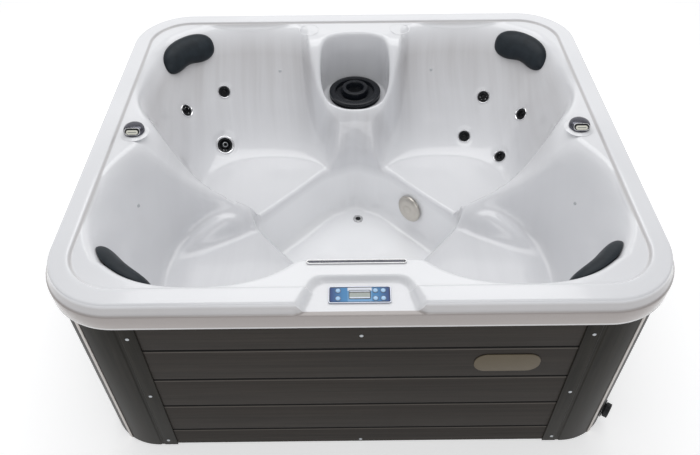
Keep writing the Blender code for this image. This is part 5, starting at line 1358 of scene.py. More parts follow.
def piece(name, look, shapes, *nodes, body="tub", slot=None, place=None, angle=PIECE_ANGLE,
          ease=0.0):
    """A finished piece from shapes: its seams merged, its faces outwards, tied to its body."""
    points = []
    faces = []
    for shape_points, shape_faces in shapes:
        faces += [tuple(len(points) + index for index in face) for face in shape_faces]
        points += shape_points
    if place:
        points, faces = moved((points, faces), place)
    thing = mesh_thing(name, points, faces, LOOKS[look])
    with opened(thing.data) as shape:
        merge_seams(shape)
        bmesh.ops.recalc_face_normals(shape, faces=shape.faces)
    smooth(thing.data, angle)
    if ease:
        smooth(eased(thing, ease).data, angle)
    return fit(thing, body, slot or look, *nodes)


class Growth(Tree):
    """A geometry tree with named inputs, for what repeats."""

    def __init__(self, name, look, sizes):
        group = bpy.data.node_groups.new(name, "GeometryNodeTree")
        super().__init__(group)
        group.interface.new_socket("Geometry", in_out="OUTPUT", socket_type="NodeSocketGeometry")
        group.interface.new_socket("Geometry", in_out="INPUT", socket_type="NodeSocketGeometry")
        for key, value in sizes.items():
            kind = "NodeSocketInt" if isinstance(value, int) else "NodeSocketFloat"
            socket = group.interface.new_socket(key, in_out="INPUT", socket_type=kind)
            socket.default_value = value
        self.entry = group.nodes.new("NodeGroupInput")
        self.look = LOOKS[look]

    def input(self, key):
        return Signal(self, self.entry.outputs[key])

    def instances(self, points, thing, axis=None, direction=None):
        """Copies of a thing on points, with an axis along a direction, as the tree's result."""
        sockets = {"Points": points, "Instance": thing}
        if axis:
            sockets["Rotation"] = self.node("FunctionNodeAlignRotationToVector", {"axis": axis},
                                            {"Vector": direction})
        copies = self.node("GeometryNodeInstanceOnPoints", {}, sockets)
        real = self.node("GeometryNodeRealizeInstances", {}, {"Geometry": copies})
        painted = self.node("GeometryNodeSetMaterial", {}, {
            "Geometry": real, "Material": self.look})
        self.node("NodeGroupOutput", {}, {"Geometry": painted})

    def grow(self, thing, place=None):
        """Run the tree on a base piece and keep the result as its plain mesh."""
        thing.modifiers.new("Grow", "NODES").node_group = self.tree
        settled(thing)
        if place:
            thing.data.transform(place)
        smooth(thing.data, GROWN_ANGLE)
        return thing


def board_shape(half):
    """Points and faces of a board between its two ends, with its face along -Y."""
    middle = BOARD_PITCH / 2 - GAP
    edge = middle - GROOVE_WIDTH / 2
    side = [(PANEL_THICK, middle), (GROOVE_DEPTH, middle),
            (GROOVE_DEPTH * 0.35, middle - GROOVE_WIDTH * 0.3), (BOARD_EASE * 0.2, edge),
            (0.0, edge - BOARD_EASE)]
    section = [(depth, -height) for depth, height in side] + side[::-1]
    count = len(section)
    points = [(end * half, depth, height) for depth, height in section for end in (-1, 1)]
    faces = [(2 * row, 2 * row + 1, 2 * ((row + 1) % count) + 1, 2 * ((row + 1) % count))
             for row in range(count)]
    return points, faces + [tuple(range(0, 2 * count, 2)), tuple(range(1, 2 * count, 2))]


def board_growth():
    """A tree that stacks boards one pitch apart."""
    lowest = TOP_BOARD_Z - BOARDS_BELOW * BOARD_PITCH
    grow = Growth("stacked_boards", "brown_grey_boards", {
        "Pitch": BOARD_PITCH, "Boards": BOARDS, "Lowest": lowest})
    stack = grow.node("GeometryNodeMeshLine", {"mode": "OFFSET"}, {
        "Count": grow.input("Boards"), "Start Location": grow.vector(z=grow.input("Lowest")),
        "Offset": grow.vector(z=grow.input("Pitch"))})
    grow.instances(stack, grow.input("Geometry"))
    return grow


def make_panels():
    """The four clad panels: boards from the tree, cut at their foot and top and closed."""
    grow = board_growth()
    sides = (("front", PANEL_HALF_X, CABINET_Y, 0.0),
             ("right", PANEL_HALF_Y, CABINET_X, math.pi / 2),
             ("rear", PANEL_HALF_X, CABINET_Y, math.pi),
             ("left", PANEL_HALF_Y, CABINET_X, -math.pi / 2))
    for name, half, distance, turn in sides:
        panel = grow.grow(mesh_thing(name + "_boards", *board_shape(half)))
        with opened(panel.data) as shape:
            for height, up in ((CABINET_FOOT, -1.0), (CABINET_TOP, 1.0)):
                bmesh.ops.bisect_plane(
                    shape, geom=shape.verts[:] + shape.edges[:] + shape.faces[:], dist=TINY,
                    plane_co=(0.0, 0.0, height), plane_no=(0.0, 0.0, up), clear_outer=True)
            bmesh.ops.holes_fill(shape, edges=[edge for edge in shape.edges if edge.is_boundary])
            bmesh.ops.recalc_face_normals(shape, faces=shape.faces)
        panel.data.transform(Matrix.Rotation(turn, 4, "Z")
                             @ Matrix.Translation((0.0, -distance, 0.0)))
        smooth(panel.data, COVER_ANGLE)
        fit(panel, "tub", "brown_grey_boards", name + "_panel")


def make_corners():
    """The four bent corner covers, their edges eased."""
    inner = CABINET_CORNER + GAP
    outer = inner + COVER_THICK
    turns = [math.pi / 2 * step / COVER_STEPS - math.pi / 2 for step in range(COVER_STEPS + 1)]
    outside = [(outer * math.cos(turn), outer * math.sin(turn)) for turn in turns]
    inside = [(inner * math.cos(turn), inner * math.sin(turn)) for turn in reversed(turns)]
    strip = COVER_STRIP - COVER_FLANGE
    bottom = outer - COVER_VALLEY
    valley = [(strip, outer), (strip + VALLEY_SLOPE, bottom),
              (-VALLEY_END - VALLEY_RISE, bottom), (-VALLEY_END, outer)]
    outline = ([(-COVER_FLANGE, -inner), (-COVER_FLANGE, -outer)]
               + [(along, -out) for along, out in valley] + outside
               + [(out, -along) for along, out in reversed(valley)]
               + [(outer, COVER_FLANGE), (inner, COVER_FLANGE)] + inside)
    corners = (("front_right", 1, -1, 0.0), ("rear_right", 1, 1, math.pi / 2),
               ("rear_left", -1, 1, math.pi), ("front_left", -1, -1, -math.pi / 2))
    for name, side, end, turn in corners:
        place = (Matrix.Translation((side * PANEL_HALF_X, end * PANEL_HALF_Y, 0.0))
                 @ Matrix.Rotation(turn, 4, "Z"))
        piece("cover_" + name, "dark_corner_cover", [slab(outline, COVER_FOOT, CABINET_TOP)],
              "corner_cover_" + name, place=place, angle=COVER_ANGLE, ease=PLATE_EASE)


def make_shell_skin():
    """The acrylic shell's seen face, left open under its fittings."""
    rows = shell_rings()
    points = rows[:, :SHELL_SPOKES, :].reshape(-1, 3)
    faces = np.array(grid_faces(len(rows), SHELL_SPOKES))
    keep = ~under_fittings(points[faces].mean(axis=1))
    skin = mesh_thing("shell_skin", points.tolist(), faces[keep].tolist(), LOOKS["pearl_acrylic"])
    with opened(skin.data) as shape:
        merge_seams(shape)
        loose = [corner for corner in shape.verts if not corner.link_faces]
        bmesh.ops.delete(shape, geom=loose, context="VERTS")
        if sum(face.normal.z for face in shape.faces) < 0.0:
            bmesh.ops.reverse_faces(shape, faces=shape.faces)
    skin.data.shade_smooth()
    fit(skin, "tub", "pearl_acrylic", "acrylic_shell")


def under_fittings(middles):
    """Which face middles lie under a fitting that covers the opening's edge."""
    rounds = [(mould_point(*place)[0], jet.body) for place, jet in JETS]
    rounds.append((Vector((0.0, WELL_OVAL.y, WELL_Z)), CANISTER_RADIUS + CANISTER_ROOM))
    rounds += [(Vector((side * DIVERTER_SIDE, DIVERTER_Y, DECK_Z)), VALVE_RADIUS)
               for side in (-1, 1)]
    rounds.append((Vector((*DRAIN_PLACE, FOOT_Z)), DRAIN_OPENING))
    rounds.append((suction_spot()[0], SUCTION_OPENING))
    gone = ((middles[:, 2] > DECK_Z - FALL_REACH)
            & (np.abs(middles[:, 0] - FALL_X) < FALL_LENGTH / 2 - FALL_LAP)
            & (np.abs(middles[:, 1] - FALL_Y) < FALL_OPENING))
    for place, radius in rounds:
        gone |= np.linalg.norm(middles - np.array(place), axis=1) < radius
    return gone


def pillow_spot(bowl, side, angle, fall):
    """A point of a seat's wall by its angle round the bowl and its fall below the deck."""
    share = 1.0 - fall / (DECK_Z - bowl.pan_z)
    oval = Oval(*(low + (high - low) * share for low, high in zip(bowl.pan, bowl.mouth)))
    cosine = math.cos(angle)
    sine = math.sin(angle)
    x = oval.x + oval.half_x * math.copysign(abs(cosine) ** (2 / SEAT_POWER), cosine)
    y = oval.y + oval.half_y * math.copysign(abs(sine) ** (2 / SEAT_POWER), sine)
    return Vector((side * x, y, DECK_Z - fall))


def pillow_shape(name, bowl, side):
    """A crowned pillow on a seat's wall, pinched in the middle of its lower edge."""
    thing = mesh_thing(name, [], [])
    with opened(thing.data) as shape:
        bmesh.ops.create_cube(shape, size=2.0)
    rounded(thing, PILLOW_LEVELS)
    spread = PILLOW_HALF / bowl.mouth.half_x
    wall_length = math.dist(pillow_spot(bowl, side, bowl.angle, 0.0),
                            pillow_spot(bowl, side, bowl.angle, PILLOW_TALL))
    fall_share = PILLOW_TALL / wall_length
    middle = Vector((side * bowl.pan.x, bowl.pan.y, DECK_Z))
    reach = max(corner.co.x for corner in thing.data.vertices)
    for corner in thing.data.vertices:
        u, v, w = (value / reach for value in corner.co)
        u = math.copysign(abs(u) ** PILLOW_SQUARE, u)
        v = math.copysign(abs(v) ** PILLOW_SQUARE, v)
        pinch = PILLOW_PINCH * math.exp(-(PILLOW_PINCH_SPREAD * u) ** 2)
        upward = (1.0 + v) / 2 * (1.0 - pinch * (1.0 - max(v, -1.0)) / 2)
        fall = PILLOW_TOP_DROP + PILLOW_TALL * fall_share * (1.0 - upward * (1.0 - pinch) - pinch)
        angle = bowl.angle + spread * u
        spot = pillow_spot(bowl, side, angle, fall)
        beside = pillow_spot(bowl, side, angle + GAP, fall)
        below = pillow_spot(bowl, side, angle, fall + GAP)
        normal = (beside - spot).cross(below - spot).normalized()
        if normal.dot(middle - spot) < 0.0:
            normal = -normal
        lift = PILLOW_THICK * w if w > 0.0 else PILLOW_BACK * w
        corner.co = spot + normal * (lift + SHELL_EASE)
    with opened(thing.data) as shape:
        bmesh.ops.recalc_face_normals(shape, faces=shape.faces)
    thing.data.materials.clear()
    thing.data.materials.append(LOOKS["slate_pillow"])
    thing.data.shade_smooth()
    return thing


def make_pillows():
    """A pillow in each corner seat, softer than its solid."""
    for row, bowl in (("rear", REAR_BOWL), ("front", FRONT_BOWL)):
        for hand, side in HANDS:
            pillow = pillow_shape(f"headrest_{row}_{hand}", bowl, side)
            fit(pillow, "tub", "slate_pillow", f"pillow_{row}_{hand}")


def make_lid():
    """The black filter lid: a raised edge, a sunk channel and a raised hub."""
    ease = LID_EASE
    base = SHELL_EASE + CANISTER_FLANGE_THICK + GAP
    skirt = CANISTER_RADIUS - CANISTER_WALL - 3 * GAP
    top = LID_TALL
    ring = top - LID_RING_DROP
    foot = ring - LID_RING_TALL
    waist = LID_RADIUS - LID_GROOVE
    hub = [(LID_HOLE, base - LID_EDGE), (LID_HOLE, top - 2 * ease),
           (LID_HOLE + ease, top - ease / 2), (LID_HOLE + 3 * ease, top),
           (LID_HUB - 4 * ease, top), (LID_HUB - ease, top - ease),
           (LID_HUB, top - 4 * ease), (LID_HUB + ease, base + 8 * ease)]
    channel = [(LID_HUB + 4 * ease, base + 6 * ease), (LID_CHANNEL - 4 * ease, base + 6 * ease),
               (LID_CHANNEL - ease, base + 8 * ease), (LID_CHANNEL, ring - 4 * ease),
               (LID_CHANNEL + 2 * ease, ring - ease), (LID_CHANNEL + 6 * ease, ring)]
    edge = [(LID_RADIUS - 8 * ease, ring - ease), (LID_RADIUS - 2 * ease, ring - 2 * ease),
            (LID_RADIUS, ring - 4 * ease), (LID_RADIUS, foot), (LID_RADIUS - ease, foot - ease),
            (waist, foot - ease), (waist, base + 4 * ease),
            (LID_RADIUS - 2 * ease, base + 3 * ease), (LID_RADIUS - ease, base), (skirt, base),
            (skirt, base - LID_EDGE)]
    piece("lid_skin", "lid_plastic", [lathe(hub + channel + edge, WIDE_STEPS)], "filter_lid",
          body="filter", slot="black_plastic", place=stood((0.0, WELL_OVAL.y, WELL_Z)))


def make_diverters():
    """The chrome diverter knobs, each with an oval finger opening, and their deck rings."""
    base = SHELL_EASE
    top = base + DIVERTER_RING_THICK
    ease = DIVERTER_EASE
    edge = DIVERTER_RING
    profile = [(0.0, top + SPINDLE_LENGTH), (SPINDLE_RADIUS, top + SPINDLE_LENGTH),
               (SPINDLE_RADIUS, top), (KNOB_RADIUS + ease, top),
               (KNOB_RADIUS + 4 * ease, top - ease), (edge - 3 * ease, base + ease),
               (edge, base + 0.4 * ease), (edge, base),
               (VALVE_RADIUS, base), (VALVE_RADIUS, -VALVE_LENGTH), (0.0, -VALVE_LENGTH)]
    for hand, side in HANDS:
        place = Vector((side * DIVERTER_SIDE, DIVERTER_Y, DECK_Z))
        piece("valve_ring_" + hand, "pearl_acrylic", [lathe(profile, DECK_RING_STEPS, False)],
              "diverter_valve_" + hand, slot="white_plastic", place=stood(place),
              angle=FITTING_ANGLE)
        make_knob(hand, place + Vector((0.0, 0.0, top)))


def make_knob(hand, place):
    """A domed knob, cut back in a slope that holds an oval opening, with a black sheet painted as
    the shade inside it, and its grip bar.
    """
    body = "diverter_" + hand
    socket = SPINDLE_RADIUS + 2 * GAP
    profile = [(0.0, SPINDLE_LENGTH + GAP), (socket, SPINDLE_LENGTH + GAP), (socket, GAP),
               (KNOB_RADIUS - KNOB_FOOT, GAP), (KNOB_RADIUS, KNOB_FOOT)]
    profile += turned(KNOB_DOME, KNOB_RADIUS, 0.0, KNOB_HEIGHT)
    points, faces = lathe(profile, WIDE_STEPS, False)
    shaped = [knob_front(point) for point in points]
    piece("knob_" + hand, "dark_chrome", [(shaped, faces)], "diverter_knob_" + hand, body=body,
          slot="chrome", place=Matrix.Translation(place))
    lean = math.atan2(KNOB_HEIGHT * (1.0 - KNOB_SILL), KNOB_RADIUS * KNOB_SLOPE)
    middle = Vector((0.0, KNOB_RADIUS * (KNOB_SLOPE / 2 - KNOB_FRONT),
                     KNOB_HEIGHT * (1.0 + KNOB_SILL) / 2))
    spot = Matrix.Translation(place + middle) @ Matrix.Rotation(lean, 4, "X")
    low = spot @ Matrix.Translation((0.0, -GRIP_BAR_DROP, 0.0))
    oval = long_oval(*KNOB_OPENING)
    hollow = long_oval(*(size - GRIP_RING for size in KNOB_OPENING))
    line = rounded_rectangle(*GRIP_LINE, 6)
    piece("grip_ring_" + hand, "pale_chrome", [slab(oval, *GRIP_RING_RISE, hollow)],
          body=body, slot="chrome", place=spot, ease=GRIP_RING_EASE)
    # A black sheet painted as the shade inside the finger opening
    piece("grip_hollow_" + hand, "black_plastic", [slab(hollow, *GRIP_SHADE_RISE)],
          body=body, place=spot)
    piece("grip_bar_" + hand, "cream_bar", [slab(long_oval(*KNOB_BAR), *GRIP_BAR_RISE)],
          body=body, slot="white_plastic", place=low, ease=GRIP_BAR_EASE)
    piece("grip_line_" + hand, "motor_paint", [slab(line, *GRIP_LINE_RISE)],
          body=body, slot="black_plastic", place=low)


def knob_front(point):
    """Cut the knob's front back to its slope, above a low sill."""
    x, y, z = point
    share = (z / KNOB_HEIGHT - KNOB_SILL) / (1.0 - KNOB_SILL)
    if share < 0.0:
        return x, y, z
    return x, max(y, KNOB_RADIUS * (KNOB_SLOPE * share - KNOB_FRONT)), z


def jet_dish(jet):
    """A jet's black dish inside the ring, down to its bore and its spigot in the housing."""
    ease = JET_EASE
    low = -jet.seat + GAP
    spigot = jet.body - JET_WALL - 3 * GAP
    inner = jet.face * JET_DISH - ease
    sunk = low - JET_SINK
    return [(jet.bore, low - JET_SPIGOT), (jet.bore, sunk), (jet.bore + 2 * ease, sunk + 2 * ease),
            (jet.bore + 4.5 * ease, sunk), (spigot - 4 * ease, sunk),
            (spigot - 2.5 * ease, low + ease), (inner, low + 2 * ease), (inner, low),
            (spigot, low), (spigot, low - JET_SPIGOT)]


def make_jets():
    """Seven jets: pale chrome rings, black dishes and throats, a ball nozzle in the large one."""
    for number, (spot, jet) in enumerate(JETS, start=1):
        body = f"jet_{number}"
        place = stood(*mould_point(*spot))
        low = -jet.seat + GAP
        ring = lathe(turned(JET_RING, jet.face, low), ROUND_STEPS)
        piece(f"jet_ring_{number}", "jet_ring_metal", [ring], f"jet_face_{number}", body=body,
              slot="chrome", place=place, angle=FITTING_ANGLE)
        shapes = [lathe(jet_dish(jet), ROUND_STEPS)]
        if jet is SMALL_JET:
            core = turned(JET_CORE, jet.bore - GAP, low - JET_SINK)
            shapes.append(lathe(core, SMALL_STEPS, False))
        piece(f"jet_dish_{number}", "black_plastic", shapes, body=body, place=place,
              angle=FITTING_ANGLE)
    make_nozzle()


def make_nozzle():
    """The large jet's ball nozzle, with a ring round its bore."""
    spot, normal = mould_point(*LARGE_JET_PLACE)
    place = stood(spot - normal * (LARGE_JET.seat + NOZZLE_SINK), normal)
    ball = LARGE_JET.bore * math.cos(NOZZLE_TILT) - GAP
    mouth = math.asin(NOZZLE_BORE / ball)
    turns = np.linspace(mouth, math.pi - mouth, 24)
    profile = [(ball * math.sin(turn), ball * math.cos(turn)) for turn in turns]
    piece("nozzle_ball", "black_plastic", [lathe(profile, ROUND_STEPS)], "jet_nozzle",
          body="nozzle", place=place, angle=SOFT_ANGLE)
    inner = NOZZLE_BORE * NOZZLE_RIM
    outer = inner + NOZZLE_RIM_WIDTH
    top = math.sqrt(ball ** 2 - inner ** 2)
    low = math.sqrt(ball ** 2 - outer ** 2)
    ring = [(inner, top - NOZZLE_RIM_DEEP), (inner, top + NOZZLE_RIM_PROUD),
            (outer, low + NOZZLE_RIM_PROUD), (outer, low - NOZZLE_RIM_DEEP)]
    piece("nozzle_rim", "galvanised_steel", [lathe(ring, SMALL_STEPS)], body="nozzle",
          slot="chrome", place=place, angle=FITTING_ANGLE)


def make_suction():
    """The suction cover: a satin dome over a ring of slots, grown as ribs round its edge."""
    place = stood(*suction_spot())
    radius = SUCTION_RADIUS
    top = SUCTION_PROUD
    base = GAP - SUCTION_SEAT + SUCTION_BASE + GAP
    core = top - SUCTION_CORE_DROP
    hub = turned(SUCTION_HUB, radius, base, core - base)
    piece("suction_dome", "satin_nickel",
          [lathe(turned(SUCTION_DOME, radius, top), WIDE_STEPS, False),
           lathe(turned(SUCTION_SKIRT, radius, base), WIDE_STEPS)], "suction_cover", place=place)
    piece("suction_core", "black_plastic", [lathe(hub, ROUND_STEPS, False)], place=place)
    tall = top + SUCTION_DOME[-1][1] - base
    grow = Growth("ribs_round_a_ring", "satin_nickel", {
        "Ribs": SUCTION_SLOTS, "Ring radius": SUCTION_RIB_RING, "Rib width": SUCTION_RIB,
        "Rib length": SUCTION_RIB_LENGTH, "Rib height": tall})
    circle = grow.node("GeometryNodeMeshCircle", {}, {
        "Vertices": grow.input("Ribs"), "Radius": grow.input("Ring radius")})
    bar = grow.node("GeometryNodeMeshCube", {}, {"Size": grow.vector(
        grow.input("Rib length"), grow.input("Rib width"), grow.input("Rib height"))})
    grow.instances(circle, bar, "X", grow.node("GeometryNodeInputPosition"))
    lift = Matrix.Translation((0.0, 0.0, base + tall / 2))
    ribs = grow.grow(mesh_thing("suction_ribs", [], []), place @ lift)
    fit(ribs, "tub", "satin_nickel")


def make_drain():
    """The chrome drain grate in the footwell floor, with a ring of small holes."""
    place = Vector((*DRAIN_PLACE, FOOT_Z))
    grate = lathe(turned(DRAIN_GRATE, DRAIN_RADIUS, SHELL_EASE), ROUND_STEPS, False)
    piece("drain_grate", "waterfall_metal", [grate], "floor_drain", slot="chrome",
          place=stood(place))
    dots = [lathe(turned(DRAIN_DISC, DRAIN_RADIUS, SHELL_EASE), SMALL_STEPS, False)]
    hole = lathe(turned(DRAIN_DOT, DRAIN_HOLE, SHELL_EASE), DOT_STEPS, False)
    for x, y in circle_points(DRAIN_HOLE_RING, DRAIN_HOLES) + [(0.0, 0.0)]:
        dots.append(moved(hole, Matrix.Translation((x, y, 0.0))))
    piece("drain_holes", "black_plastic", dots, place=Matrix.Translation(place))


def make_waterfall():
    """The chrome waterfall frame round its slot."""
    half = FALL_LENGTH / 2
    wide = FALL_WIDTH / 2
    outer = rounded_rectangle(half, wide, wide - TINY, 10)
    inner = rounded_rectangle(half - FALL_FRAME, wide - FALL_FRAME, wide - FALL_FRAME - TINY, 10)
    wall = [(x * FALL_FLARE[0], y * FALL_FLARE[1]) for x, y in inner]
    place = Matrix.Translation((FALL_X, FALL_Y, DECK_Z + SHELL_EASE))
    piece("fall_frame", "waterfall_metal", [slab(outer, 0.0, FALL_PROUD, inner)],
          "waterfall_spout", slot="chrome", place=place, ease=PLATE_EASE)
    piece("fall_slot", "pale_chrome", [slab(inner, *FALL_SLOT_RISE)], slot="chrome",
          place=place)
    # Painted shade: the throat's walls take a dark metal that stands for the shade inside the slot
    piece("fall_throat", "dark_chrome", [slab(wall, *FALL_THROAT_RISE, inner)],
          slot="chrome", place=place)


def make_controls():
    """The control panel: bezel, a black line painted as the shade at the bezel's inner edge, blue
    label, display and six buttons.
    """
    low = SHELL_EASE
    top = low + PANEL_PROUD
    half_x = PANEL_LENGTH / 2 - PANEL_TRIM / 4
    half_y = PANEL_WIDTH / 2 - PANEL_TRIM
    face, inner, line = (rounded_rectangle(half_x - inset, half_y - inset, turn, 8)
                         for inset, turn in PANEL_OUTLINES)
    pane, edge = (rounded_rectangle(WINDOW_LENGTH / 2 + out, WINDOW_WIDTH / 2 + out, turn, 6)
                  for out, turn in WINDOW_OUTLINES)
    place = on_panel()
    piece("bezel_skin", "bezel_metal", [slab(face, low, top, inner)], "panel_bezel",
          slot="white_plastic", place=place, ease=BEZEL_EASE)
    # Painted shade: a black line round the bezel's inner edge
    piece("bezel_line", "black_plastic", [slab(inner, low, top - LINE_DROP, line)],
          place=place)
    piece("panel_label", "blue_label", [slab(line, low, top - LABEL_DROP)],
          slot="blue_button", place=place)
    piece("display_pane", "display_window", [slab(pane, top - PANE_DEEP, top - PANE_DROP)],
          "display_window", place=place)
    piece("display_rim", "black_plastic",
          [slab(edge, top - WINDOW_RIM_DEEP, top + WINDOW_RIM_PROUD, pane)], place=place)
    make_buttons(top)


def make_buttons(top):
    """Six domed buttons, each in a dark ring painted as the shade round it."""
    cap = lathe(turned(BUTTON_DOME, BUTTON_RADIUS, 0.0, BUTTON_HEIGHT), BUTTON_STEPS, False)
    inner = BUTTON_RADIUS + GAP
    outer = BUTTON_RADIUS + BUTTON_RING
    high = top + BUTTON_RING_PROUD
    low = top - BUTTON_RING
    ring = lathe([(inner, low), (inner, high), (outer, high), (outer, low)], BUTTON_STEPS)
    rings = []
    for number, (x, y) in enumerate(BUTTON_PLACES, start=1):
        place = on_panel(x, y, top - BUTTON_SINK)
        piece(f"button_cap_{number}", "blue_button", [cap], f"button_{number}",
              body=f"button_{number}", place=place)
        rings.append(moved(ring, on_panel(x, y)))
    # Painted shade: dark rings round the buttons
    piece("button_rings", "dark_chrome", rings, slot="black_plastic")


def make_tap():
    """The drain tap on the front right corner: a flange, a barrel and a ribbed cap."""
    outward = Vector((math.cos(TAP_TURN), math.sin(TAP_TURN), 0.0))
    reach = CABINET_CORNER + GAP + COVER_THICK
    place = stood(Vector((PANEL_HALF_X, -PANEL_HALF_Y, TAP_Z)) + outward * reach, outward)
    top = GAP + TAP_FLANGE_THICK
    end = top + TAP_BARREL_LENGTH
    rim = TAP_FLANGE
    ease = TAP_EASE
    profile = [(0.0, end), (TAP_STEM, end), (TAP_STEM, top), (rim - 4 * ease, top),
               (rim - ease, top - ease), (rim, top - 3 * ease), (rim, GAP), (0.0, GAP)]
    piece("tap_flange", "black_plastic", [lathe(profile, ROUND_STEPS, False)], "drain_valve",
          place=place)
    steps = TAP_RIBS * 4
    points = []
    for height, share in TAP_CAP_ROWS:
        for x, y in circle_points(share, steps):
            turn = len(points) % steps * math.tau / steps
            radius = TAP_CAP - TAP_RIB * (0.5 + 0.5 * math.cos(turn * TAP_RIBS))
            points.append((radius * x, radius * y, height))
    last = (len(TAP_CAP_ROWS) - 1) * steps
    faces = grid_faces(len(TAP_CAP_ROWS), steps)
    faces += [tuple(range(steps)), tuple(range(last, last + steps))]
    piece("tap_cap", "black_plastic", [(points, faces)], "drain_cap", body="drain_tap",
          place=place @ Matrix.Translation((0.0, 0.0, top + GAP)))


def screw_points():
    """Places and outward normals of the cabinet's screws."""
    spots = []
    for height in SCREW_ROWS:
        for side in (-1, 1):
            for face in (-1, 1):
                along_x = side * (PANEL_HALF_X - SCREW_INSET)
                along_y = face * (PANEL_HALF_Y - SCREW_INSET)
                out = GAP + COVER_THICK
                spots.append(((along_x, face * (CABINET_Y + out), height), (0, face, 0)))
                spots.append(((side * (CABINET_X + out), along_y, height), (side, 0, 0)))
    for face in (-1, 1):
        for height in (SCREW_ROWS[0], LOW_SCREW_Z):
            spots.append(((LOW_SCREW_X, face * CABINET_Y, height), (0, face, 0)))
            spots.append(((face * CABINET_X, LOW_SCREW_X, height), (face, 0, 0)))
    return spots


def grow_domes(name, look, slot, radius, height, segments, spots):
    """A low dome on every spot, grown by a tree along the spot's own normal."""
    grow = Growth(name, look, {"Radius": radius, "Height": height, "Segments": segments})
    dome = grow.node("GeometryNodeMeshUVSphere", {}, {
        "Segments": grow.input("Segments"), "Rings": 10, "Radius": grow.input("Radius")})
    flat = grow.node("GeometryNodeTransform", {}, {
        "Geometry": dome,
        "Scale": grow.vector(1.0, 1.0, grow.input("Height") / grow.input("Radius"))})
    lean = grow.node("GeometryNodeInputNamedAttribute", {"data_type": "FLOAT_VECTOR"},
                     {"Name": "lean"})
    grow.instances(grow.input("Geometry"), flat, "Z", lean)
    thing = mesh_thing(name, [spot for spot, _ in spots], [])
    leans = thing.data.attributes.new("lean", "FLOAT_VECTOR", "POINT")
    for item, (_, normal) in zip(leans.data, spots):
        item.vector = normal
    fit(grow.grow(thing), "tub", slot)


def make_fasteners():
    """Cabinet screws, air dots, the blanks on the rear deck and the bare oval plate."""
    grow_domes("cabinet_screws", "galvanised_steel", "galvanised_steel", SCREW_RADIUS,
               SCREW_PROUD, SCREW_STEPS, screw_points())
    grow_domes("air_dot_lenses", "air_dot_lens", "satin_nickel", AIR_DOT, AIR_DOT_PROUD,
               AIR_DOT_STEPS, [mould_point(x, y) for x, y in AIR_DOT_PLACES])
    ring = lathe([(BLANK_RADIUS - inset, height) for inset, height in BLANK_RING], WIDE_STEPS)
    blanks = [moved(ring, Matrix.Translation((side * BLANK_SIDE, BLANK_Y, DECK_Z)))
              for side in (-1, 1)]
    piece("deck_blanks", "pearl_acrylic", blanks, angle=SOFT_ANGLE)
    half = PLATE_HEIGHT / 2
    oval = rounded_rectangle(PLATE_LENGTH / 2, half, half - PLATE_FLAT, 24)
    place = (Matrix.Translation((PLATE_X, -CABINET_Y - GAP, PLATE_Z))
             @ Matrix.Rotation(math.pi / 2, 4, "X"))
    piece("oval_plate", "oval_plate", [slab(oval, 0.0, PLATE_THICK)], slot="light_trim",
          place=place, ease=PLATE_EASE)


def make_floor():
    """A pale floor that curves up into a backdrop."""
    depth = [(-FLOOR_FRONT, 0.0), (FLOOR_BACK, 0.0)]
    for step in range(1, FLOOR_STEPS + 1):
        turn = math.pi / 2 * step / FLOOR_STEPS
        depth.append((FLOOR_BACK + FLOOR_BEND * math.sin(turn),
                      FLOOR_BEND - FLOOR_BEND * math.cos(turn)))
    depth.append((FLOOR_BACK + FLOOR_BEND, BACKDROP_TALL))
    points = [(x, y, z) for y, z in depth for x in (-FLOOR_SIDE, FLOOR_SIDE)]
    faces = [(2 * row, 2 * row + 1, 2 * row + 3, 2 * row + 2) for row in range(len(depth) - 1)]
    floor = mesh_thing("studio_floor", points, faces, floor_look())
    floor.data.shade_smooth()


def make_lights():
    """Broad soft lights from above and the front, over a white surround."""
    world = bpy.data.worlds.new("studio")
    bpy.context.scene.world = world
    world.use_nodes = True
    back = world.node_tree.nodes["Background"]
    back.inputs["Color"].default_value = SKY_COLOUR
    back.inputs["Strength"].default_value = SKY_STRENGTH
    for name, place, target, power, size_x, size_y in LIGHTS:
        light = bpy.data.lights.new(name, "AREA")
        light.shape = "RECTANGLE"
        light.size = size_x
        light.size_y = size_y
        light.energy = power
        lamp = bpy.data.objects.new(name, light)
        bpy.context.scene.collection.objects.link(lamp)
        aim = (Vector(target) - Vector(place)).to_track_quat("-Z", "Y").to_matrix().to_4x4()
        lamp.matrix_world = Matrix.Translation(place) @ aim


def make_camera():
    """The photograph's viewpoint."""
    forward = Vector((math.sin(CAMERA_YAW) * math.cos(CAMERA_PITCH),
                      math.cos(CAMERA_YAW) * math.cos(CAMERA_PITCH), -math.sin(CAMERA_PITCH)))
    right = Vector((math.cos(CAMERA_YAW), -math.sin(CAMERA_YAW), 0.0))
    up = right.cross(forward)
    side = right * math.cos(CAMERA_ROLL) + up * math.sin(CAMERA_ROLL)
    top = up * math.cos(CAMERA_ROLL) - right * math.sin(CAMERA_ROLL)
    lens = bpy.data.cameras.new("photo_view")
    lens.lens = LENS
    lens.sensor_width = SENSOR
    camera = bpy.data.objects.new("photo_view", lens)
    bpy.context.scene.collection.objects.link(camera)
    turn = Matrix((side, top, -forward)).transposed().to_4x4()
    camera.matrix_world = Matrix.Translation(CAMERA_PLACE) @ turn
    bpy.context.scene.camera = camera
    bpy.context.scene.view_settings.view_transform = "Standard"


def tone(name, description, colour):
    """A colour that the panel shows."""
    return FloatVectorProperty(name=name, description=description, subtype="COLOR", size=3,
                               default=colour)


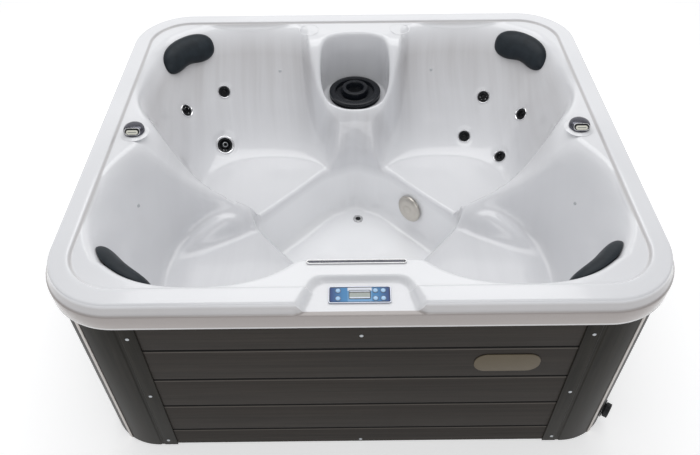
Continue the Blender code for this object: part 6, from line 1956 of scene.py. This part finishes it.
class TubColours(bpy.types.PropertyGroup):
    """The tub's colours"""
    acrylic_light: tone("Acrylic, light", "Lighter tone of the shell", (0.80, 0.805, 0.825))
    # Also the painted shade down the walls and on the column
    acrylic_grey_and_shade: tone("Acrylic, grey", "Greyer tone of the shell's marbling", (0.60, 0.605, 0.63))
    # Painted light that brightens the footwell
    footwell_painted_light: tone("Acrylic, deep", "Brighter tone of the footwell", (0.93, 0.935, 0.95))
    # Also the painted shade line along the border's step
    acrylic_warm_and_shade: tone("Acrylic, warm", "Warmer streaks down the rear backrests",
                       (0.47, 0.455, 0.455))
    # Painted shade, warm-tinted, on the rolled lip's outer face
    skirt: tone("Skirt", "Rolled lip below the rim's edge", (0.37, 0.335, 0.32))
    board_dark: tone("Board, dark", "Darker grain of the boards", (0.0150, 0.0116, 0.0088))
    board_light: tone("Board, light", "Lighter grain of the boards", (0.036, 0.0285, 0.0225))
    cover: tone("Corner cover", "Corner covers", (0.0090, 0.0080, 0.0056))
    cover_light: tone("Corner cover, light", "Lighter grain of the corner covers",
                      (0.024, 0.0212, 0.0168))
    pillow: tone("Pillow", "Foam of the headrests", (0.012, 0.0165, 0.021))
    label_deep: tone("Label, deep", "Colour at the ends of the control label",
                     (0.035, 0.060, 0.19))
    label_pale: tone("Label, pale", "Colour beside the control's display", (0.07, 0.24, 0.48))
    label_sky: tone("Label, sky", "Colour round the control's display", (0.22, 0.42, 0.66))
    button: tone("Button", "Domed buttons of the controls", (0.38, 0.60, 0.86))


class Maker:
    """An operator's shared part: it runs its makers in order"""
    makers = ()

    def execute(self, context):
        for make in self.makers:
            make()
        return {"FINISHED"}


class HOTTUB_OT_looks(bpy.types.Operator):
    """Make the materials and dress the frame's own solids"""
    bl_idname = "hottub.looks"
    bl_label = "Materials"

    def execute(self, context):
        make_looks(context.scene.hot_tub_colours)
        dress_nodes()
        return {"FINISHED"}


class HOTTUB_OT_shell(Maker, bpy.types.Operator):
    """Make the moulded acrylic shell"""
    bl_idname = "hottub.shell"
    bl_label = "Shell"
    makers = (make_shell_skin,)


class HOTTUB_OT_cabinet(Maker, bpy.types.Operator):
    """Make the boards and the corner covers"""
    bl_idname = "hottub.cabinet"
    bl_label = "Cabinet"
    makers = (make_panels, make_corners)


class HOTTUB_OT_pillows(Maker, bpy.types.Operator):
    """Make the four headrest pillows"""
    bl_idname = "hottub.pillows"
    bl_label = "Pillows"
    makers = (make_pillows,)


class HOTTUB_OT_jets(Maker, bpy.types.Operator):
    """Make the jets, suction cover and floor drain"""
    bl_idname = "hottub.jets"
    bl_label = "Jets and drains"
    makers = (make_jets, make_suction, make_drain)


class HOTTUB_OT_deck(Maker, bpy.types.Operator):
    """Make the filter lid, diverters, waterfall and controls"""
    bl_idname = "hottub.deck"
    bl_label = "Deck fittings"
    makers = (make_lid, make_diverters, make_waterfall, make_controls)


class HOTTUB_OT_outside(Maker, bpy.types.Operator):
    """Make the drain tap, screws, air dots, blanks and oval plate"""
    bl_idname = "hottub.outside"
    bl_label = "Tap and fasteners"
    makers = (make_tap, make_fasteners)


class HOTTUB_OT_stage(Maker, bpy.types.Operator):
    """Make the floor, lights and camera"""
    bl_idname = "hottub.stage"
    bl_label = "Stage"
    makers = (make_floor, make_lights, make_camera)


class HOTTUB_PT_panel(bpy.types.Panel):
    """Lists the tub's colours and its making, in order"""
    bl_idname = "HOTTUB_PT_panel"
    bl_label = "Hot Tub"
    bl_space_type = "VIEW_3D"
    bl_region_type = "UI"
    bl_category = "Hot Tub"

    def draw(self, context):
        colours = context.scene.hot_tub_colours
        for key in colours.bl_rna.properties.keys():
            if key not in {"rna_type", "name"}:
                self.layout.prop(colours, key)
        for operator in OPERATORS:
            self.layout.operator(operator.bl_idname)


OPERATORS = (HOTTUB_OT_looks, HOTTUB_OT_shell, HOTTUB_OT_cabinet, HOTTUB_OT_pillows,
             HOTTUB_OT_jets, HOTTUB_OT_deck, HOTTUB_OT_outside, HOTTUB_OT_stage)
CLASSES = (TubColours, *OPERATORS, HOTTUB_PT_panel)


def register():
    for item in CLASSES:
        bpy.utils.register_class(item)
    bpy.types.Scene.hot_tub_colours = PointerProperty(type=TubColours)


def unregister():
    del bpy.types.Scene.hot_tub_colours
    for item in reversed(CLASSES):
        bpy.utils.unregister_class(item)


def main():
    register()
    bpy.ops.hottub.looks()
    bpy.ops.hottub.shell()
    bpy.ops.hottub.cabinet()
    bpy.ops.hottub.pillows()
    bpy.ops.hottub.jets()
    bpy.ops.hottub.deck()
    bpy.ops.hottub.outside()
    bpy.ops.hottub.stage()


if __name__ == "__main__":
    main()
